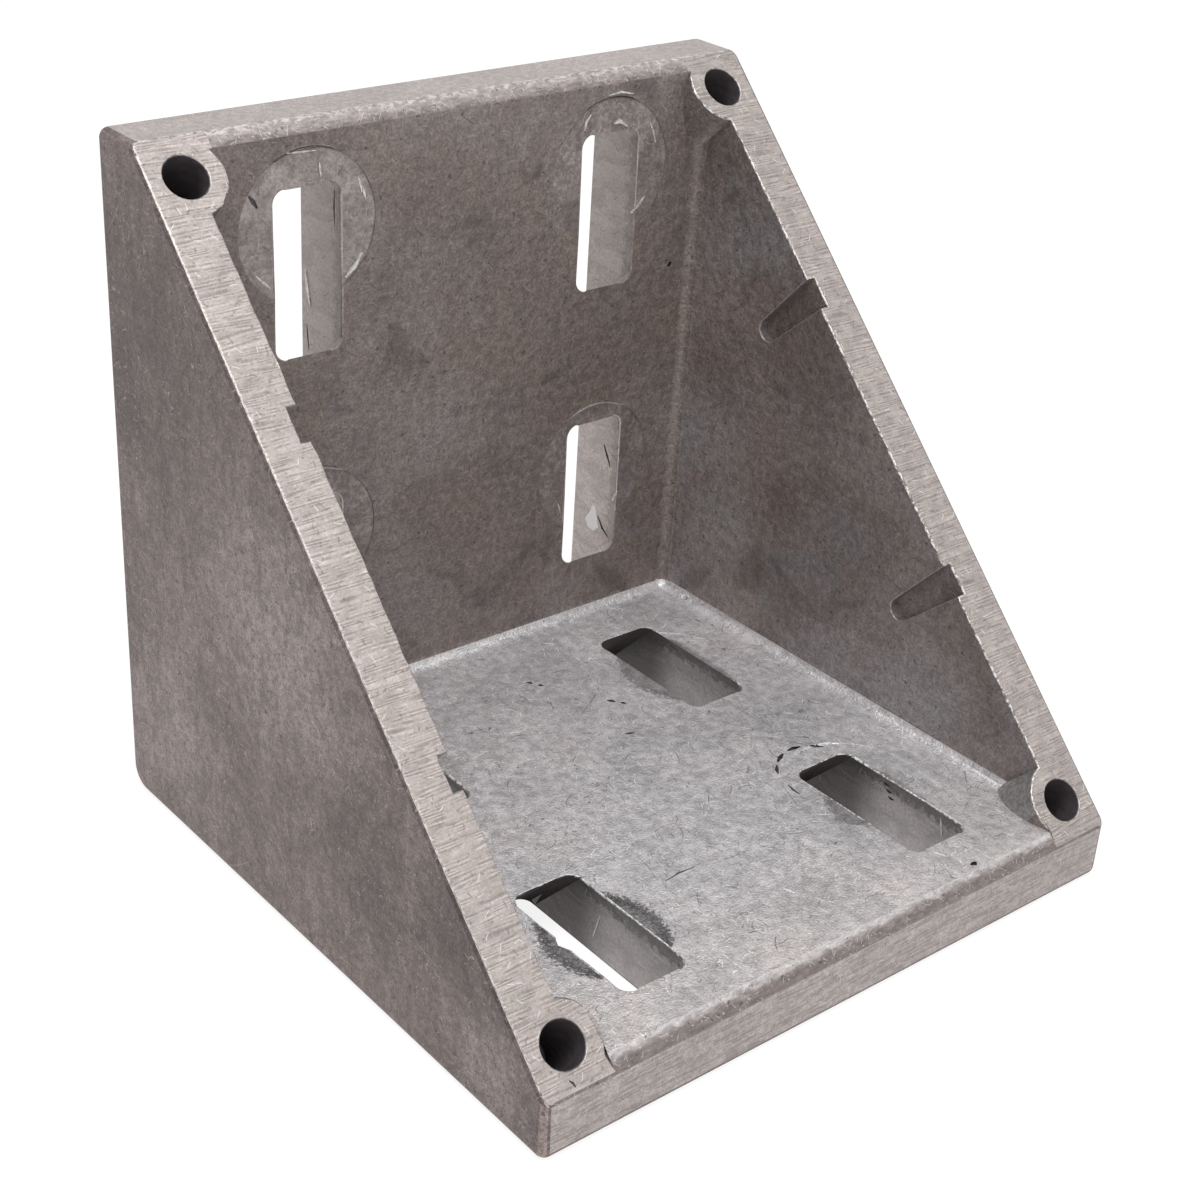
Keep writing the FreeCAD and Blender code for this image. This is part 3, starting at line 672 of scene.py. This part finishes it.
def ground_seat(name):
    """Round seats round the back leg's slots: ground greyer and smoother, the upper left one most."""
    g, c = start(name)
    side, height = g.parts(g.flat)
    cloud, ragged, grain = g.noise(5, 2, 0.6, 0.4), g.noise(0.8, 3, 0.7), g.noise(0.32, 1)
    rubbed = mixed(c.skin_light, c.cut_metal, 0.3)
    upper_left = g.times(g.step(side, 0, -10), g.step(height, 45, 55))
    uneven = g.step(g.noise(3.2, 3, 0.65, 0.4, 3), 0.36, 0.62, 0.2, 0.85)
    from_middle = g.vector("LENGTH", g.map(SEAT_MAP))
    worn_ring = g.times(g.step(from_middle, 6.5, 9), g.step(ragged, 0.45, 0.62))
    metal = mixed(c.skin_brown, c.skin_light, 0.45)
    metal = g.marked(metal, (rubbed, uneven, upper_left), (rubbed, 0.4, worn_ring))
    metal = g.shaded(metal, (cloud, 0.84, 1.16), (grain, 0.9, 1.1), (ragged, 0.86, 1.14))
    metal = g.marked(
        metal,
        (c.cut_metal, 0.6, g.nicks(2.6, 1.8, 0.14, 0.45, 1, 3), g.nicks(1.6, 1, 0.13, 0.4, 2, 5)),
        (c.skin_dark, 0.5, g.nicks(2.4, 1.8, 0.14, 0.35, 1, 8)),
    )
    return g.finish(metal, 0.4, (cloud, 0.42, 0.52), g.sum(cloud, 0.4, ragged, 0.6), 0.14)


def pin_bore(name):
    """The blind pin holes: dark with painted shade, and the drill's rings."""
    g = Graph(name)
    rings = g.noise(0.7, 1, at=g.drawn(0.2))
    shade_mottle = g.noise(1.4, 2, 0.6)
    metal = g.shaded(g.blend(rings, BORE_DARK, BORE_LIGHT), (shade_mottle, 0.93, 1.07))
    return g.finish(metal, 0.4, (shade_mottle, 0.5, 0.65), rings, 0.05)


def fresh_mark(name, first, second, metallic=0.5):
    """Bare metal of two tones: burrs, scratches and worn edges; it also gives the pure white of a painted
    highlight.
    """
    g = Graph(name)
    grain = g.noise(0.6, 3, 0.65)
    metal = g.clouded(second, first, grain, 0.38, 0.6)
    return g.finish(metal, metallic, (grain, 0.3, 0.5), grain, 0.04)


FINISHES = (
    "cavity", "cavity_sides", "outside", "base", "rim", "beads", "top_end", "front_end",
    "base_slots", "back_slots", "heel_ends", "base_seats", "back_seats", "boss_sides", "bores",
    "lead_ins", "mounting", "corners", "burred_edges", "edges", "torn_edges", "outer_burr",
    "end_corners", "groove_edges", "groove_walls", "bright_marks", "dark_marks", "painted_highlight_spot",
)

# The finishes of bare metal: the material's name, and its lighter and darker tone
BARE_METAL = {
    "boss_sides": ("lower_boss_sides", (0.34, 0.32, 0.322), (0.24, 0.225, 0.226)),
    "lead_ins": ("pin_lead_ins", (0.5, 0.46, 0.44), (0.3, 0.27, 0.26)),
    "burred_edges": ("burred_slot_edges", (0.88, 0.87, 0.86), (0.3, 0.28, 0.27)),
    "torn_edges": ("torn_rim_edges", (0.72, 0.69, 0.67), (0.2, 0.17, 0.16)),
    "outer_burr": ("outer_rim_burr", (0.52, 0.48, 0.46), (0.25, 0.215, 0.205)),
    "groove_edges": ("groove_edges", (0.37, 0.325, 0.32), (0.22, 0.19, 0.185)),
    "groove_walls": ("groove_walls", (0.25, 0.225, 0.22), (0.19, 0.165, 0.16)),
    "bright_marks": ("bright_marks", (0.72, 0.7, 0.69), (0.42, 0.4, 0.385)),
    # A painted highlight, pure white and not metallic
    "painted_highlight_spot": ("painted_highlight_spot", (1, 1, 1), (0.97, 0.97, 0.97), 0),
}

# Limits of a face's lean out of the slope; on the milled rim it is the root of two
ON_RIM = 1.38
ON_BEAD = 1.04
OFF_RIM = 0.3


def finish_of(face):
    """Which finish a face of the casting has, by where it lies and how it looks."""
    middle, normal = face.calc_center_median(), face.normal
    side, along, lean = abs(middle.x), abs(slope_along(middle)), normal.z - normal.y
    below = SLOPE_LEVEL - (middle.z - middle.y)
    if side > SIDE_FACE - 0.7 * MM and 0.25 < abs(normal.x) < 0.97 and middle.z - middle.y > 40 * MM:
        if below < 0.75 * MM:
            return "outer_burr" if abs(normal.x) < 0.5 and middle.x < 0 else "edges"
        return "outside" if middle.z > 80 * MM else "end_corners"
    if from_pin(middle) < PIN_RADIUS + FLAT and below > FLAT:
        return "bores"
    if from_pin(middle) < PIN_RADIUS + WORN_CHAMFER + FLAT and lean < ON_RIM:
        return "lead_ins"
    if from_pin(middle) < BOSS_RADIUS + BOSS_FOOT and lean < OFF_RIM:
        if 8.6 * MM < middle.z < 20 * MM and normal.z > -0.1:
            return "boss_sides"
    if along > BEADS_FROM and side < BEADS_WITHIN and lean > ON_BEAD and below < 1.1 * MM:
        return "beads"
    if below < 0.3 * MM and lean < ON_RIM and along < TORN_TO and middle.x > 0:
        return "torn_edges"
    if below < 0.3 * MM and normal.z > 0.5 and normal.y < -0.5:
        return "rim"
    if by_grooves(middle) and abs(normal.x) < 0.96:
        return "groove_edges" if abs(normal.x) > 0.25 else "groove_walls"
    in_column = abs(side - COLUMN) < HALF_SLOT + 0.3 * MM
    in_base = middle.z < INNER_BASE - 0.05 * MM and abs(middle.y) < SLOTS_WITHIN
    in_back = middle.y > INNER_BACK + 0.05 * MM and 6 * MM < middle.z < 80 * MM
    facing_down = normal.z < -0.9 and middle.z < FLAT
    facing_out = facing_down or normal.y > 0.9 and middle.y > BACK_FACE - FLAT
    if normal.z > 0.99 and in_base and middle.z > INNER_BASE - 2 * SEAT_DEPTH:
        return "base_seats"
    if in_column and in_base and 0.25 < normal.z < 0.98 and 8.4 * MM < middle.z < 9.0 * MM:
        return "burred_edges"
    if normal.y < -0.99 and INNER_BACK + 0.05 * MM < middle.y < INNER_BACK + 2 * SEAT_DEPTH:
        return "back_seats"
    if in_column and (in_base or in_back) and not facing_out:
        if in_base:
            return "heel_ends" if normal.z < -0.08 else "base_slots"
        return "back_slots"
    if facing_out:
        return "mounting"
    if normal.z > 0.9 and near(middle.z, TOP_FACE):
        return "top_end"
    if normal.y < -0.9 and near(middle.y, FRONT_FACE):
        return "front_end"
    if side > SIDE_FACE - 1.3 * MM:
        return "outside"
    if INNER_BASE < middle.z < INNER_BASE + 1.5 * MM and 0.35 < normal.z < 0.97:
        return "corners"
    if INNER_BASE - SEAT_DEPTH < middle.z <= INNER_BASE and abs(middle.y) < SLOTS_WITHIN:
        return "base"
    if INNER_BACK + FLAT < middle.y < INNER_BACK + SEAT_DEPTH and middle.z > INNER_BASE + 2 * MM:
        return "back_seats"
    if normal.z > 0.6 and middle.z < INNER_BASE + 1.2 * MM:
        return "base"
    if middle.y > BACK_FACE - 3.3 * MM or middle.z < 3.3 * MM or middle.y < FRONT_FACE + 1.3 * MM:
        return "outside"
    return "cavity_sides" if abs(normal.x) > 0.97 else "cavity"


def add_materials(piece):
    c = bpy.context.scene.bracket_casting
    pale = mixed(c.cut_metal, c.skin_light, 0.35)
    duller = mixed(c.cut_metal, c.skin_light, 0.28)
    dirt = mixed(c.skin_dark, c.skin_brown, 0.3)
    base_wall = mixed(c.base_grey, c.skin_light, 0.7)
    back_wall = mixed(c.cut_metal, c.skin_light, 0.5)
    materials = {
        "cavity": cavity_skin("cavity_skin", BACK_CLOUDS, BACK_BROWNED, BACK_RUBBED),
        "cavity_sides": cavity_skin("cavity_side_skin", SIDE_CLOUDS, SIDE_BROWNED, SIDE_RUBBED, 0.4),
        "outside": outer_skin("outer_skin"),
        # Painted shade on the rim's outer edges and a painted highlight on the rounded end corners: darker
        # and lighter copies of the outer skin
        "edges": outer_skin("rim_outer_edges", 0.72),
        "end_corners": outer_skin("front_end_corners", 1.65),
        "base": base_skin("base_skin"),
        "base_seats": base_skin("base_seats", darkened_lens=True),
        "corners": base_skin("base_corners"),
        "rim": milled_rim("milled_rim"),
        "beads": cast_bead("cast_beads"),
        "top_end": sanded_face("sanded_top_end", pale, 0.1),
        "front_end": sanded_face("sanded_front_end", duller, 0.5),
        "mounting": sanded_face("sanded_mounting_faces", duller, 0.3),
        "base_slots": slot_wall("base_slot_walls", dirt, base_wall, False),
        "back_slots": slot_wall("back_slot_walls", back_wall, back_wall, True),
        "heel_ends": heel_end("slot_heel_ends"),
        "back_seats": ground_seat("back_seats"),
        "bores": pin_bore("pin_bores"),
        "dark_marks": fresh_mark("dark_marks", dirt, c.skin_dark),
    }
    for finish, tones in BARE_METAL.items():
        materials[finish] = fresh_mark(*tones)
    for finish in FINISHES:
        piece.data.materials.append(materials[finish])


# Shape


def placed(name, data):
    """A new object in the scene."""
    item = bpy.data.objects.new(name, data)
    bpy.context.scene.collection.objects.link(item)
    return item


def placed_mesh(name, mesh):
    data = bpy.data.meshes.new(name)
    mesh.to_mesh(data)
    mesh.free()
    return placed(name, data)


def flat_faced_copy():
    """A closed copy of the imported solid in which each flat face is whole."""
    mesh = bmesh.new()
    mesh.from_mesh(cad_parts[CASTING].data)
    bmesh.ops.remove_doubles(mesh, verts=mesh.verts, dist=0.001 * MM)
    bmesh.ops.dissolve_limit(mesh, angle_limit=math.radians(0.6), verts=mesh.verts, edges=mesh.edges)
    return mesh


def wear_seats(mesh):
    """Makes the seats round the slots as shallow as wear has left them."""
    for vert in mesh.verts:
        if near(vert.co.z, INNER_BASE - SEAT_DEPTH) and abs(vert.co.y) < INNER_BACK:
            vert.co.z = BASE_SEAT
        if near(vert.co.y, INNER_BACK + SEAT_DEPTH) and INNER_BASE < vert.co.z < SEATS_BELOW:
            vert.co.y = BACK_SEAT


def settle_bores(mesh):
    """Narrows the pin holes' chamfers to what the milling has left of them."""
    down = Vector((0.0, 1.0, -1.0)).normalized()
    up = Vector((0.0, 1.0, 1.0)).normalized()
    wide = PIN_RADIUS + PIN_CHAMFER
    for side in (-1, 1):
        for end in (-1, 1):
            middle = Vector((side * PIN_ACROSS, *SLOPE_MIDDLE)) + up * end * PIN_ALONG
            for vert in mesh.verts:
                away = vert.co - middle
                deep = away.dot(down)
                across = away - deep * down
                if across.length > wide + FLAT or deep < -FLAT:
                    continue
                if deep < FLAT:
                    across *= (PIN_RADIUS + WORN_CHAMFER) / wide
                elif deep < PIN_CHAMFER + FLAT:
                    deep = WORN_CHAMFER
                vert.co = middle + deep * down + across


def middle_of(edge):
    return (edge.verts[0].co + edge.verts[1].co) / 2


def sharp_edges(mesh, wanted):
    """The edges that turn sharply and pass a test."""
    mesh.normal_update()
    least = math.radians(35)
    sharp = [edge for edge in mesh.edges if edge.is_manifold and edge.calc_face_angle() > least]
    return [edge for edge in sharp if wanted(edge)]


def bevel(mesh, wanted, width, segments):
    """Bevels the sharp edges that pass a test, and gives the new faces."""
    return bmesh.ops.bevel(
        mesh,
        geom=sharp_edges(mesh, wanted),
        offset=width,
        offset_type="OFFSET",
        segments=segments,
        profile=0.5,
        affect="EDGES",
        clamp_overlap=False,
        material=-1,
        loop_slide=True,
    )["faces"]


def cut_up(mesh, edges, step):
    """Divides long edges, so that they can wander."""
    for edge in edges:
        cuts = int(edge.calc_length() / step)
        if cuts > 0:
            bmesh.ops.subdivide_edges(mesh, edges=[edge], cuts=cuts)


def is_bead(edge):
    """The cast cross edges of the rim, towards the cavity."""
    return all(
        on_slope(vert.co) and (near(vert.co.y, INNER_BACK) or near(vert.co.z, INNER_BASE))
        for vert in edge.verts
    )


def is_torn(edge):
    """The rim's edges along the walls and bosses, which the cutter left ragged."""
    on_rim = all(on_slope(vert.co) for vert in edge.verts)
    middle = middle_of(edge)
    between = abs(middle.x) < SIDE_FACE - 2 * MM and abs(slope_along(middle)) < TORN_TO
    return on_rim and between and from_pin(middle) > PIN_RADIUS + 1.0 * MM


def is_mouth(edge):
    """The edges round the slots' mouths, on both faces of the legs."""
    in_column = abs(abs(middle_of(edge).x) - COLUMN) < HALF_SLOT + FLAT
    levels = (INNER_BASE, BASE_SEAT, 0.0)
    depths = (INNER_BACK, BACK_SEAT, BACK_FACE)
    on_base = any(all(near(vert.co.z, level) for vert in edge.verts) for level in levels)
    on_back = any(all(near(vert.co.y, depth) for vert in edge.verts) for depth in depths)
    wall = any(face.calc_area() < SLOT_CORNER or abs(face.normal.x) > 0.9 for face in edge.link_faces)
    leaning = any(0.6 < abs(face.normal.z) < 0.8 and face.normal.y < -0.6 for face in edge.link_faces)
    return in_column and (on_base or on_back) and (wall or on_base and leaning)


def is_groove_mouth(edge):
    """The edges of the catch grooves on the side walls' inner faces."""
    flat_sides = [abs(face.normal.x) > 0.97 for face in edge.link_faces]
    off_rim = any(not on_slope(vert.co) for vert in edge.verts)
    return flat_sides.count(True) == 1 and by_grooves(middle_of(edge)) and off_rim and edge.is_convex


# How the torn edges wander: the long and the short waves, per metre, and how much of each
LONG_WAVES, LONG_SHARE = 420, 0.7
SHORT_WAVES, SHORT_SHARE = 1500, 0.6
WAVE_START = Vector((3.0, 3.0, 3.0))
TEAR_LENGTH = 0.9 * MM


def noise_way(point):
    """A direction and length that wander with the place; each part is a noise of its own."""
    starts = [point + Vector((apart, -apart, 2 * apart)) for apart in (0.0, 17.3, 41.9)]
    return Vector([noise.noise(start) for start in starts])


def wander_verts(mesh, faces, amount):
    """Moves points about by noise within the large faces that they belong to, as on a torn edge."""
    mesh.normal_update()
    chosen = {vert for face in faces for vert in face.verts}
    moves = []
    for vert in [vert for vert in mesh.verts if vert in chosen]:
        move = noise_way(vert.co * LONG_WAVES + WAVE_START) * LONG_SHARE
        move += noise_way(vert.co * SHORT_WAVES - WAVE_START) * SHORT_SHARE
        move *= amount
        for normal in [face.normal for face in vert.link_faces if face.calc_area() > SMALL_FACE]:
            move -= normal * move.dot(normal)
        moves.append((vert, move))
    for vert, move in moves:
        vert.co += move


def part_beads(mesh):
    """Cuts the slope's faces where the cast cross pieces meet the milled rim."""
    for place in (-BEADS_WITHIN, BEADS_WITHIN):
        faces = [face for face in mesh.faces if all(on_slope(vert.co) for vert in face.verts)]
        edges = [edge for edge in mesh.edges if any(face in faces for face in edge.link_faces)]
        verts = [vert for vert in mesh.verts if any(face in faces for face in vert.link_faces)]
        everything = faces + edges + verts
        bmesh.ops.bisect_plane(mesh, geom=everything, dist=TINY, plane_co=(place, 0, 0), plane_no=(1, 0, 0))


def put_in_order(mesh):
    """Numbers the points and faces by where they lie, because the cut's own order differs from run to run."""
    verts = sorted(mesh.verts, key=lambda vert: tuple(vert.co))
    number = {vert: index for index, vert in enumerate(verts)}
    rings = []
    for face in mesh.faces:
        ring = [number[vert] for vert in face.verts]
        first = ring.index(min(ring))
        rings.append(ring[first:] + ring[:first])
    data = bpy.data.meshes.new("ordered")
    data.from_pydata([vert.co for vert in verts], [], sorted(rings))
    mesh.clear()
    mesh.from_mesh(data)
    bpy.data.meshes.remove(data)


def break_edges(mesh, settings):
    """Rounds the rim's cast cross edges, tears its milled ones and breaks the mouths of the holes."""
    bevel(mesh, is_bead, settings.bead_width, 4)
    part_beads(mesh)
    put_in_order(mesh)
    cut_up(mesh, sharp_edges(mesh, is_torn), TEAR_LENGTH)
    wander_verts(mesh, bevel(mesh, is_torn, settings.rim_break, 2), settings.burr)
    bevel(mesh, is_mouth, settings.edge_break, 2)
    bevel(mesh, is_groove_mouth, settings.groove_break, 2)
    close_slivers(mesh)


def close_slivers(mesh):
    """Merges points that lie almost in one place and drops the faces that have no width."""
    bmesh.ops.remove_doubles(mesh, verts=mesh.verts, dist=TINY)
    bmesh.ops.dissolve_degenerate(mesh, dist=TINY, edges=mesh.edges)
    mesh.normal_update()


def flat_place(face, point):
    """Where a point lies on its face's plane, in millimetres."""
    sizes = [abs(part) for part in face.normal]
    on_bead = face.material_index == FINISHES.index("beads")
    if on_bead or sizes[0] < 0.4 and face.normal.z > 0.5 and face.normal.y < -0.5:
        return point.x / MM, slope_along(point) / MM
    if sizes[0] >= max(sizes):
        return point.y / MM, point.z / MM
    return (point.x / MM, point.z / MM) if sizes[1] >= sizes[2] else (point.x / MM, point.y / MM)


def seat_place(face, point):
    """Where a point lies from the middle of its slot, in millimetres, with the heel's way as positive."""
    middle = face.calc_center_median()
    if middle.y > INNER_BACK:
        along = min((slot - point.z for slot in BACK_SLOTS), key=abs)
    else:
        along = min((point.y - slot for slot in BASE_SLOTS), key=abs)
    side = COLUMN if middle.x > 0 else -COLUMN
    return (point.x - side) / MM, along / MM


def add_maps(mesh):
    """Lays the two maps that the finishes read on every face."""
    flat = mesh.loops.layers.uv.new(FLAT_MAP)
    seat = mesh.loops.layers.uv.new(SEAT_MAP)
    for face in mesh.faces:
        for loop in face.loops:
            loop[flat].uv = flat_place(face, loop.vert.co)
            loop[seat].uv = seat_place(face, loop.vert.co)


def plane(right, up, origin):
    """A plane that marks lie on: its side, its height and the way out of it in the casting's axes."""
    out = right.cross(up)
    turned = Matrix((right, up, out)).transposed().to_4x4()
    return Matrix.Translation(origin) @ turned


X_WAY, Y_WAY, Z_WAY = Vector((1, 0, 0)), Vector((0, 1, 0)), Vector((0, 0, 1))
PLANES = {
    "back": plane(X_WAY, Z_WAY, Vector((0, INNER_BACK, 0))),
    "back_seat": plane(X_WAY, Z_WAY, Vector((0, BACK_SEAT, 0))),
    "base": plane(X_WAY, Y_WAY, Vector((0, 0, INNER_BASE))),
    "base_seat": plane(X_WAY, Y_WAY, Vector((0, 0, BASE_SEAT))),
    "left_column": plane(-Y_WAY, Z_WAY, Vector((-COLUMN + HALF_SLOT, 0, 0))),
    "right_column": plane(-Y_WAY, Z_WAY, Vector((COLUMN + HALF_SLOT, 0, 0))),
    "slope": plane(X_WAY, (Y_WAY + Z_WAY).normalized(), Vector((0, *SLOPE_MIDDLE))),
}


def stroke(mesh, plane_name, points, width, reach, finish):
    """A tapered ribbon along some points of a plane, reaching above and below it."""
    places = [Vector((u, v, 0.0)) * MM for u, v in points]
    last = len(places) - 1
    if not isinstance(width, tuple):
        width = [width * (0.35 if index in (0, last) else 1.0) for index in range(last + 1)]
    left, right = [], []
    for index, place in enumerate(places):
        way = (places[min(index + 1, last)] - places[max(index - 1, 0)]).normalized()
        side = Vector((-way.y, way.x, 0.0)) * width[index] * MM / 2
        left.append(mesh.verts.new(place + side))
        right.append(mesh.verts.new(place - side))
    ribbon = mesh.faces.new(left[::-1] + right)
    sunk = Vector((0.0, 0.0, -reach * MM))
    bmesh.ops.translate(mesh, verts=ribbon.verts, vec=sunk)
    raised = bmesh.ops.extrude_face_region(mesh, geom=[ribbon], use_keep_orig=True)["geom"]
    top = [item for item in raised if isinstance(item, bmesh.types.BMVert)]
    bmesh.ops.translate(mesh, verts=top, vec=-2 * sunk)
    both = left + right + top
    bmesh.ops.transform(mesh, matrix=PLANES[plane_name], verts=both)
    for face in {face for vert in both for face in vert.link_faces}:
        face.material_index = FINISHES.index(finish)


def marks_mesh(marks, usual):
    """One closed ribbon for each mark, with the usual finish where a mark names none."""
    mesh = bmesh.new()
    for mark in marks:
        stroke(mesh, *mark[:4], *(mark[4:] or (usual,)))
    bmesh.ops.recalc_face_normals(mesh, faces=mesh.faces)
    return mesh


def joined(mesh, tool, operation):
    """The mesh with the tool's ribbons cut out of it or joined to it."""
    body, cutter = placed_mesh("body", mesh), placed_mesh("tool", tool)
    modifier = body.modifiers.new("marks", "BOOLEAN")
    modifier.operation = operation
    modifier.solver = "EXACT"
    modifier.object = cutter
    depsgraph = bpy.context.evaluated_depsgraph_get()
    result = bmesh.new()
    result.from_mesh(body.evaluated_get(depsgraph).data)
    for item in (body, cutter):
        data = item.data
        bpy.data.objects.remove(item)
        bpy.data.meshes.remove(data)
    return result


def close_gaps(mesh):
    """Closes the hair-thin gaps that the marks' cutting can leave along other edges."""
    gaps = [edge for edge in mesh.edges if edge.is_boundary]
    for face in bmesh.ops.holes_fill(mesh, edges=gaps, sides=8)["faces"]:
        beside = [other for edge in face.edges for other in edge.link_faces if other != face]
        face.material_index = beside[0].material_index
    bmesh.ops.dissolve_degenerate(mesh, dist=TINY / 8, edges=mesh.edges)
    bmesh.ops.recalc_face_normals(mesh, faces=mesh.faces)


def add_piece(name, mesh):
    """Makes the mesh an object at the origin that rides with the casting's body."""
    piece = placed_mesh(name, mesh)
    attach(piece, "root")
    return piece


def smooth_over_bevels(piece):
    """Flat faces stay flat, and the shading turns in the bevels."""
    for face in piece.data.polygons:
        face.use_smooth = True
    piece.data.set_sharp_from_angle(angle=math.radians(50))
    weighted = piece.modifiers.new("flat_faces", "WEIGHTED_NORMAL")
    weighted.keep_sharp = True
    weighted.weight = 100


class BRACKET_OT_casting(bpy.types.Operator):
    """Break the casting's edges and give each of its faces its finish"""

    bl_idname = "bracket.casting"
    bl_label = "Make Casting"

    def execute(self, context):
        mesh = flat_faced_copy()
        wear_seats(mesh)
        settle_bores(mesh)
        break_edges(mesh, context.scene.bracket_casting)
        for face in mesh.faces:
            face.material_index = FINISHES.index(finish_of(face))
        mesh = joined(mesh, marks_mesh(SUNK_MARKS, "dark_marks"), "DIFFERENCE")
        mesh = joined(mesh, marks_mesh(RAISED_MARKS, "bright_marks"), "UNION")
        close_gaps(mesh)
        add_maps(mesh)
        piece = add_piece(PIECE, mesh)
        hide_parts(CASTING)
        add_materials(piece)
        smooth_over_bevels(piece)
        return {"FINISHED"}


# Stage


CAMERA_PLACE = Vector((-0.14797, -0.16631, 0.15322))
CAMERA_VIEW = Vector((0.57561, 0.66444, -0.47664))
CAMERA_UP = Vector((0.26390, 0.40076, 0.87735))
SENSOR = 36.0
PAPER = (0.9, 0.9, 0.9)
FLOOR_RADIUS = 1.5
FLOOR_GLOW = 1.15
GLOW_SHARE = 0.75

# The lamps: the place and the size of each, and the place that they point at
TOP_LAMP = ((-0.10, -0.12, 0.60), 0.35)
FRONT_LAMP = ((-0.35, -0.55, 0.25), 0.40)
LAMPS_AT = Vector((0.0, 0.0, 0.03))


def add_camera(lens):
    data = bpy.data.cameras.new("camera")
    data.lens = lens
    data.sensor_width = SENSOR
    data.sensor_fit = "HORIZONTAL"
    data.clip_start = 0.01
    data.clip_end = 10.0
    camera = placed("camera", data)
    right = CAMERA_VIEW.cross(CAMERA_UP).normalized()
    up = right.cross(CAMERA_VIEW).normalized()
    turned = Matrix((right, up, -CAMERA_VIEW.normalized())).transposed().to_4x4()
    camera.matrix_world = Matrix.Translation(CAMERA_PLACE) @ turned
    bpy.context.scene.camera = camera


def add_lamp(name, place, size, power):
    data = bpy.data.lights.new(name, "AREA")
    data.shape = "DISK"
    data.size = size
    data.energy = power
    lamp = placed(name, data)
    lamp.location = place
    lamp.rotation_euler = (LAMPS_AT - lamp.location).to_track_quat("-Z", "Y").to_euler()


def level_where_seen(tree, unseen, seen):
    """One level for light on the part, and another where the camera or a reflection sees the surface."""
    paths = add_node(tree, "LightPath", {}).outputs
    rays = paths["Is Camera Ray"]
    for name in ("Is Glossy Ray", "Is Transmission Ray"):
        rays = add_node(tree, "Math", {0: rays, 1: paths[name]}, operation="MAXIMUM").outputs[0]
    return add_node(tree, "MapRange", {"Value": rays, "To Min": unseen, "To Max": seen}).outputs["Result"]


def light_room(strength):
    """White to the camera and in reflections, weaker as light on the part."""
    world = bpy.data.worlds.new("room")
    bpy.context.scene.world = world
    world.use_nodes = True
    tree = world.node_tree
    background = tree.nodes["Background"].inputs
    feed(tree, background["Color"], grey(1))
    feed(tree, background["Strength"], level_where_seen(tree, strength, 1))


def add_floor():
    """White paper that keeps the part's shadow and is lighter where it is seen than where it lights."""
    mesh = bmesh.new()
    bmesh.ops.create_circle(mesh, cap_ends=True, segments=64, radius=FLOOR_RADIUS)
    floor = placed_mesh("floor", mesh)
    material = bpy.data.materials.new("white_paper")
    material.use_nodes = True
    tree = material.node_tree
    paper = tree.nodes["Principled BSDF"]
    feed(tree, paper.inputs["Base Color"], PAPER)
    feed(tree, paper.inputs["Roughness"], 0.9)
    glow = add_node(tree, "Emission", {"Strength": FLOOR_GLOW}).outputs["Emission"]
    either = add_node(tree, "MixShader", {1: paper.outputs["BSDF"], 2: glow})
    feed(tree, either.inputs[0], level_where_seen(tree, 0, GLOW_SHARE))
    feed(tree, tree.nodes["Material Output"].inputs["Surface"], either.outputs["Shader"])
    floor.data.materials.append(material)


class BRACKET_OT_stage(bpy.types.Operator):
    """Set up the floor, the room, the lamps and the camera"""

    bl_idname = "bracket.stage"
    bl_label = "Make Stage"

    def execute(self, context):
        settings = context.scene.bracket_stage
        add_floor()
        light_room(settings.room_light)
        add_lamp("top_lamp", *TOP_LAMP, settings.top_light)
        add_lamp("front_lamp", *FRONT_LAMP, settings.front_light)
        add_camera(settings.lens)
        context.scene.view_settings.view_transform = "Standard"
        return {"FINISHED"}


class BRACKET_PT_panel(bpy.types.Panel):
    """The bracket's sizes, colours and light"""

    bl_idname = "BRACKET_PT_panel"
    bl_label = "Corner Bracket"
    bl_space_type = "VIEW_3D"
    bl_region_type = "UI"
    bl_category = "Bracket"

    def draw(self, context):
        for settings in (context.scene.bracket_casting, context.scene.bracket_stage):
            for name in settings.bl_rna.properties.keys():
                if name not in ("rna_type", "name"):
                    self.layout.prop(settings, name)
        self.layout.operator(BRACKET_OT_casting.bl_idname)
        self.layout.operator(BRACKET_OT_stage.bl_idname)


CLASSES = (CastingSettings, StageSettings, BRACKET_OT_casting, BRACKET_OT_stage, BRACKET_PT_panel)


def register():
    for item in CLASSES:
        bpy.utils.register_class(item)
    bpy.types.Scene.bracket_casting = bpy.props.PointerProperty(type=CastingSettings)
    bpy.types.Scene.bracket_stage = bpy.props.PointerProperty(type=StageSettings)


def unregister():
    del bpy.types.Scene.bracket_stage
    del bpy.types.Scene.bracket_casting
    for item in reversed(CLASSES):
        bpy.utils.unregister_class(item)


def main():
    register()
    bpy.ops.bracket.casting()
    bpy.ops.bracket.stage()


if __name__ == "__main__":
    main()
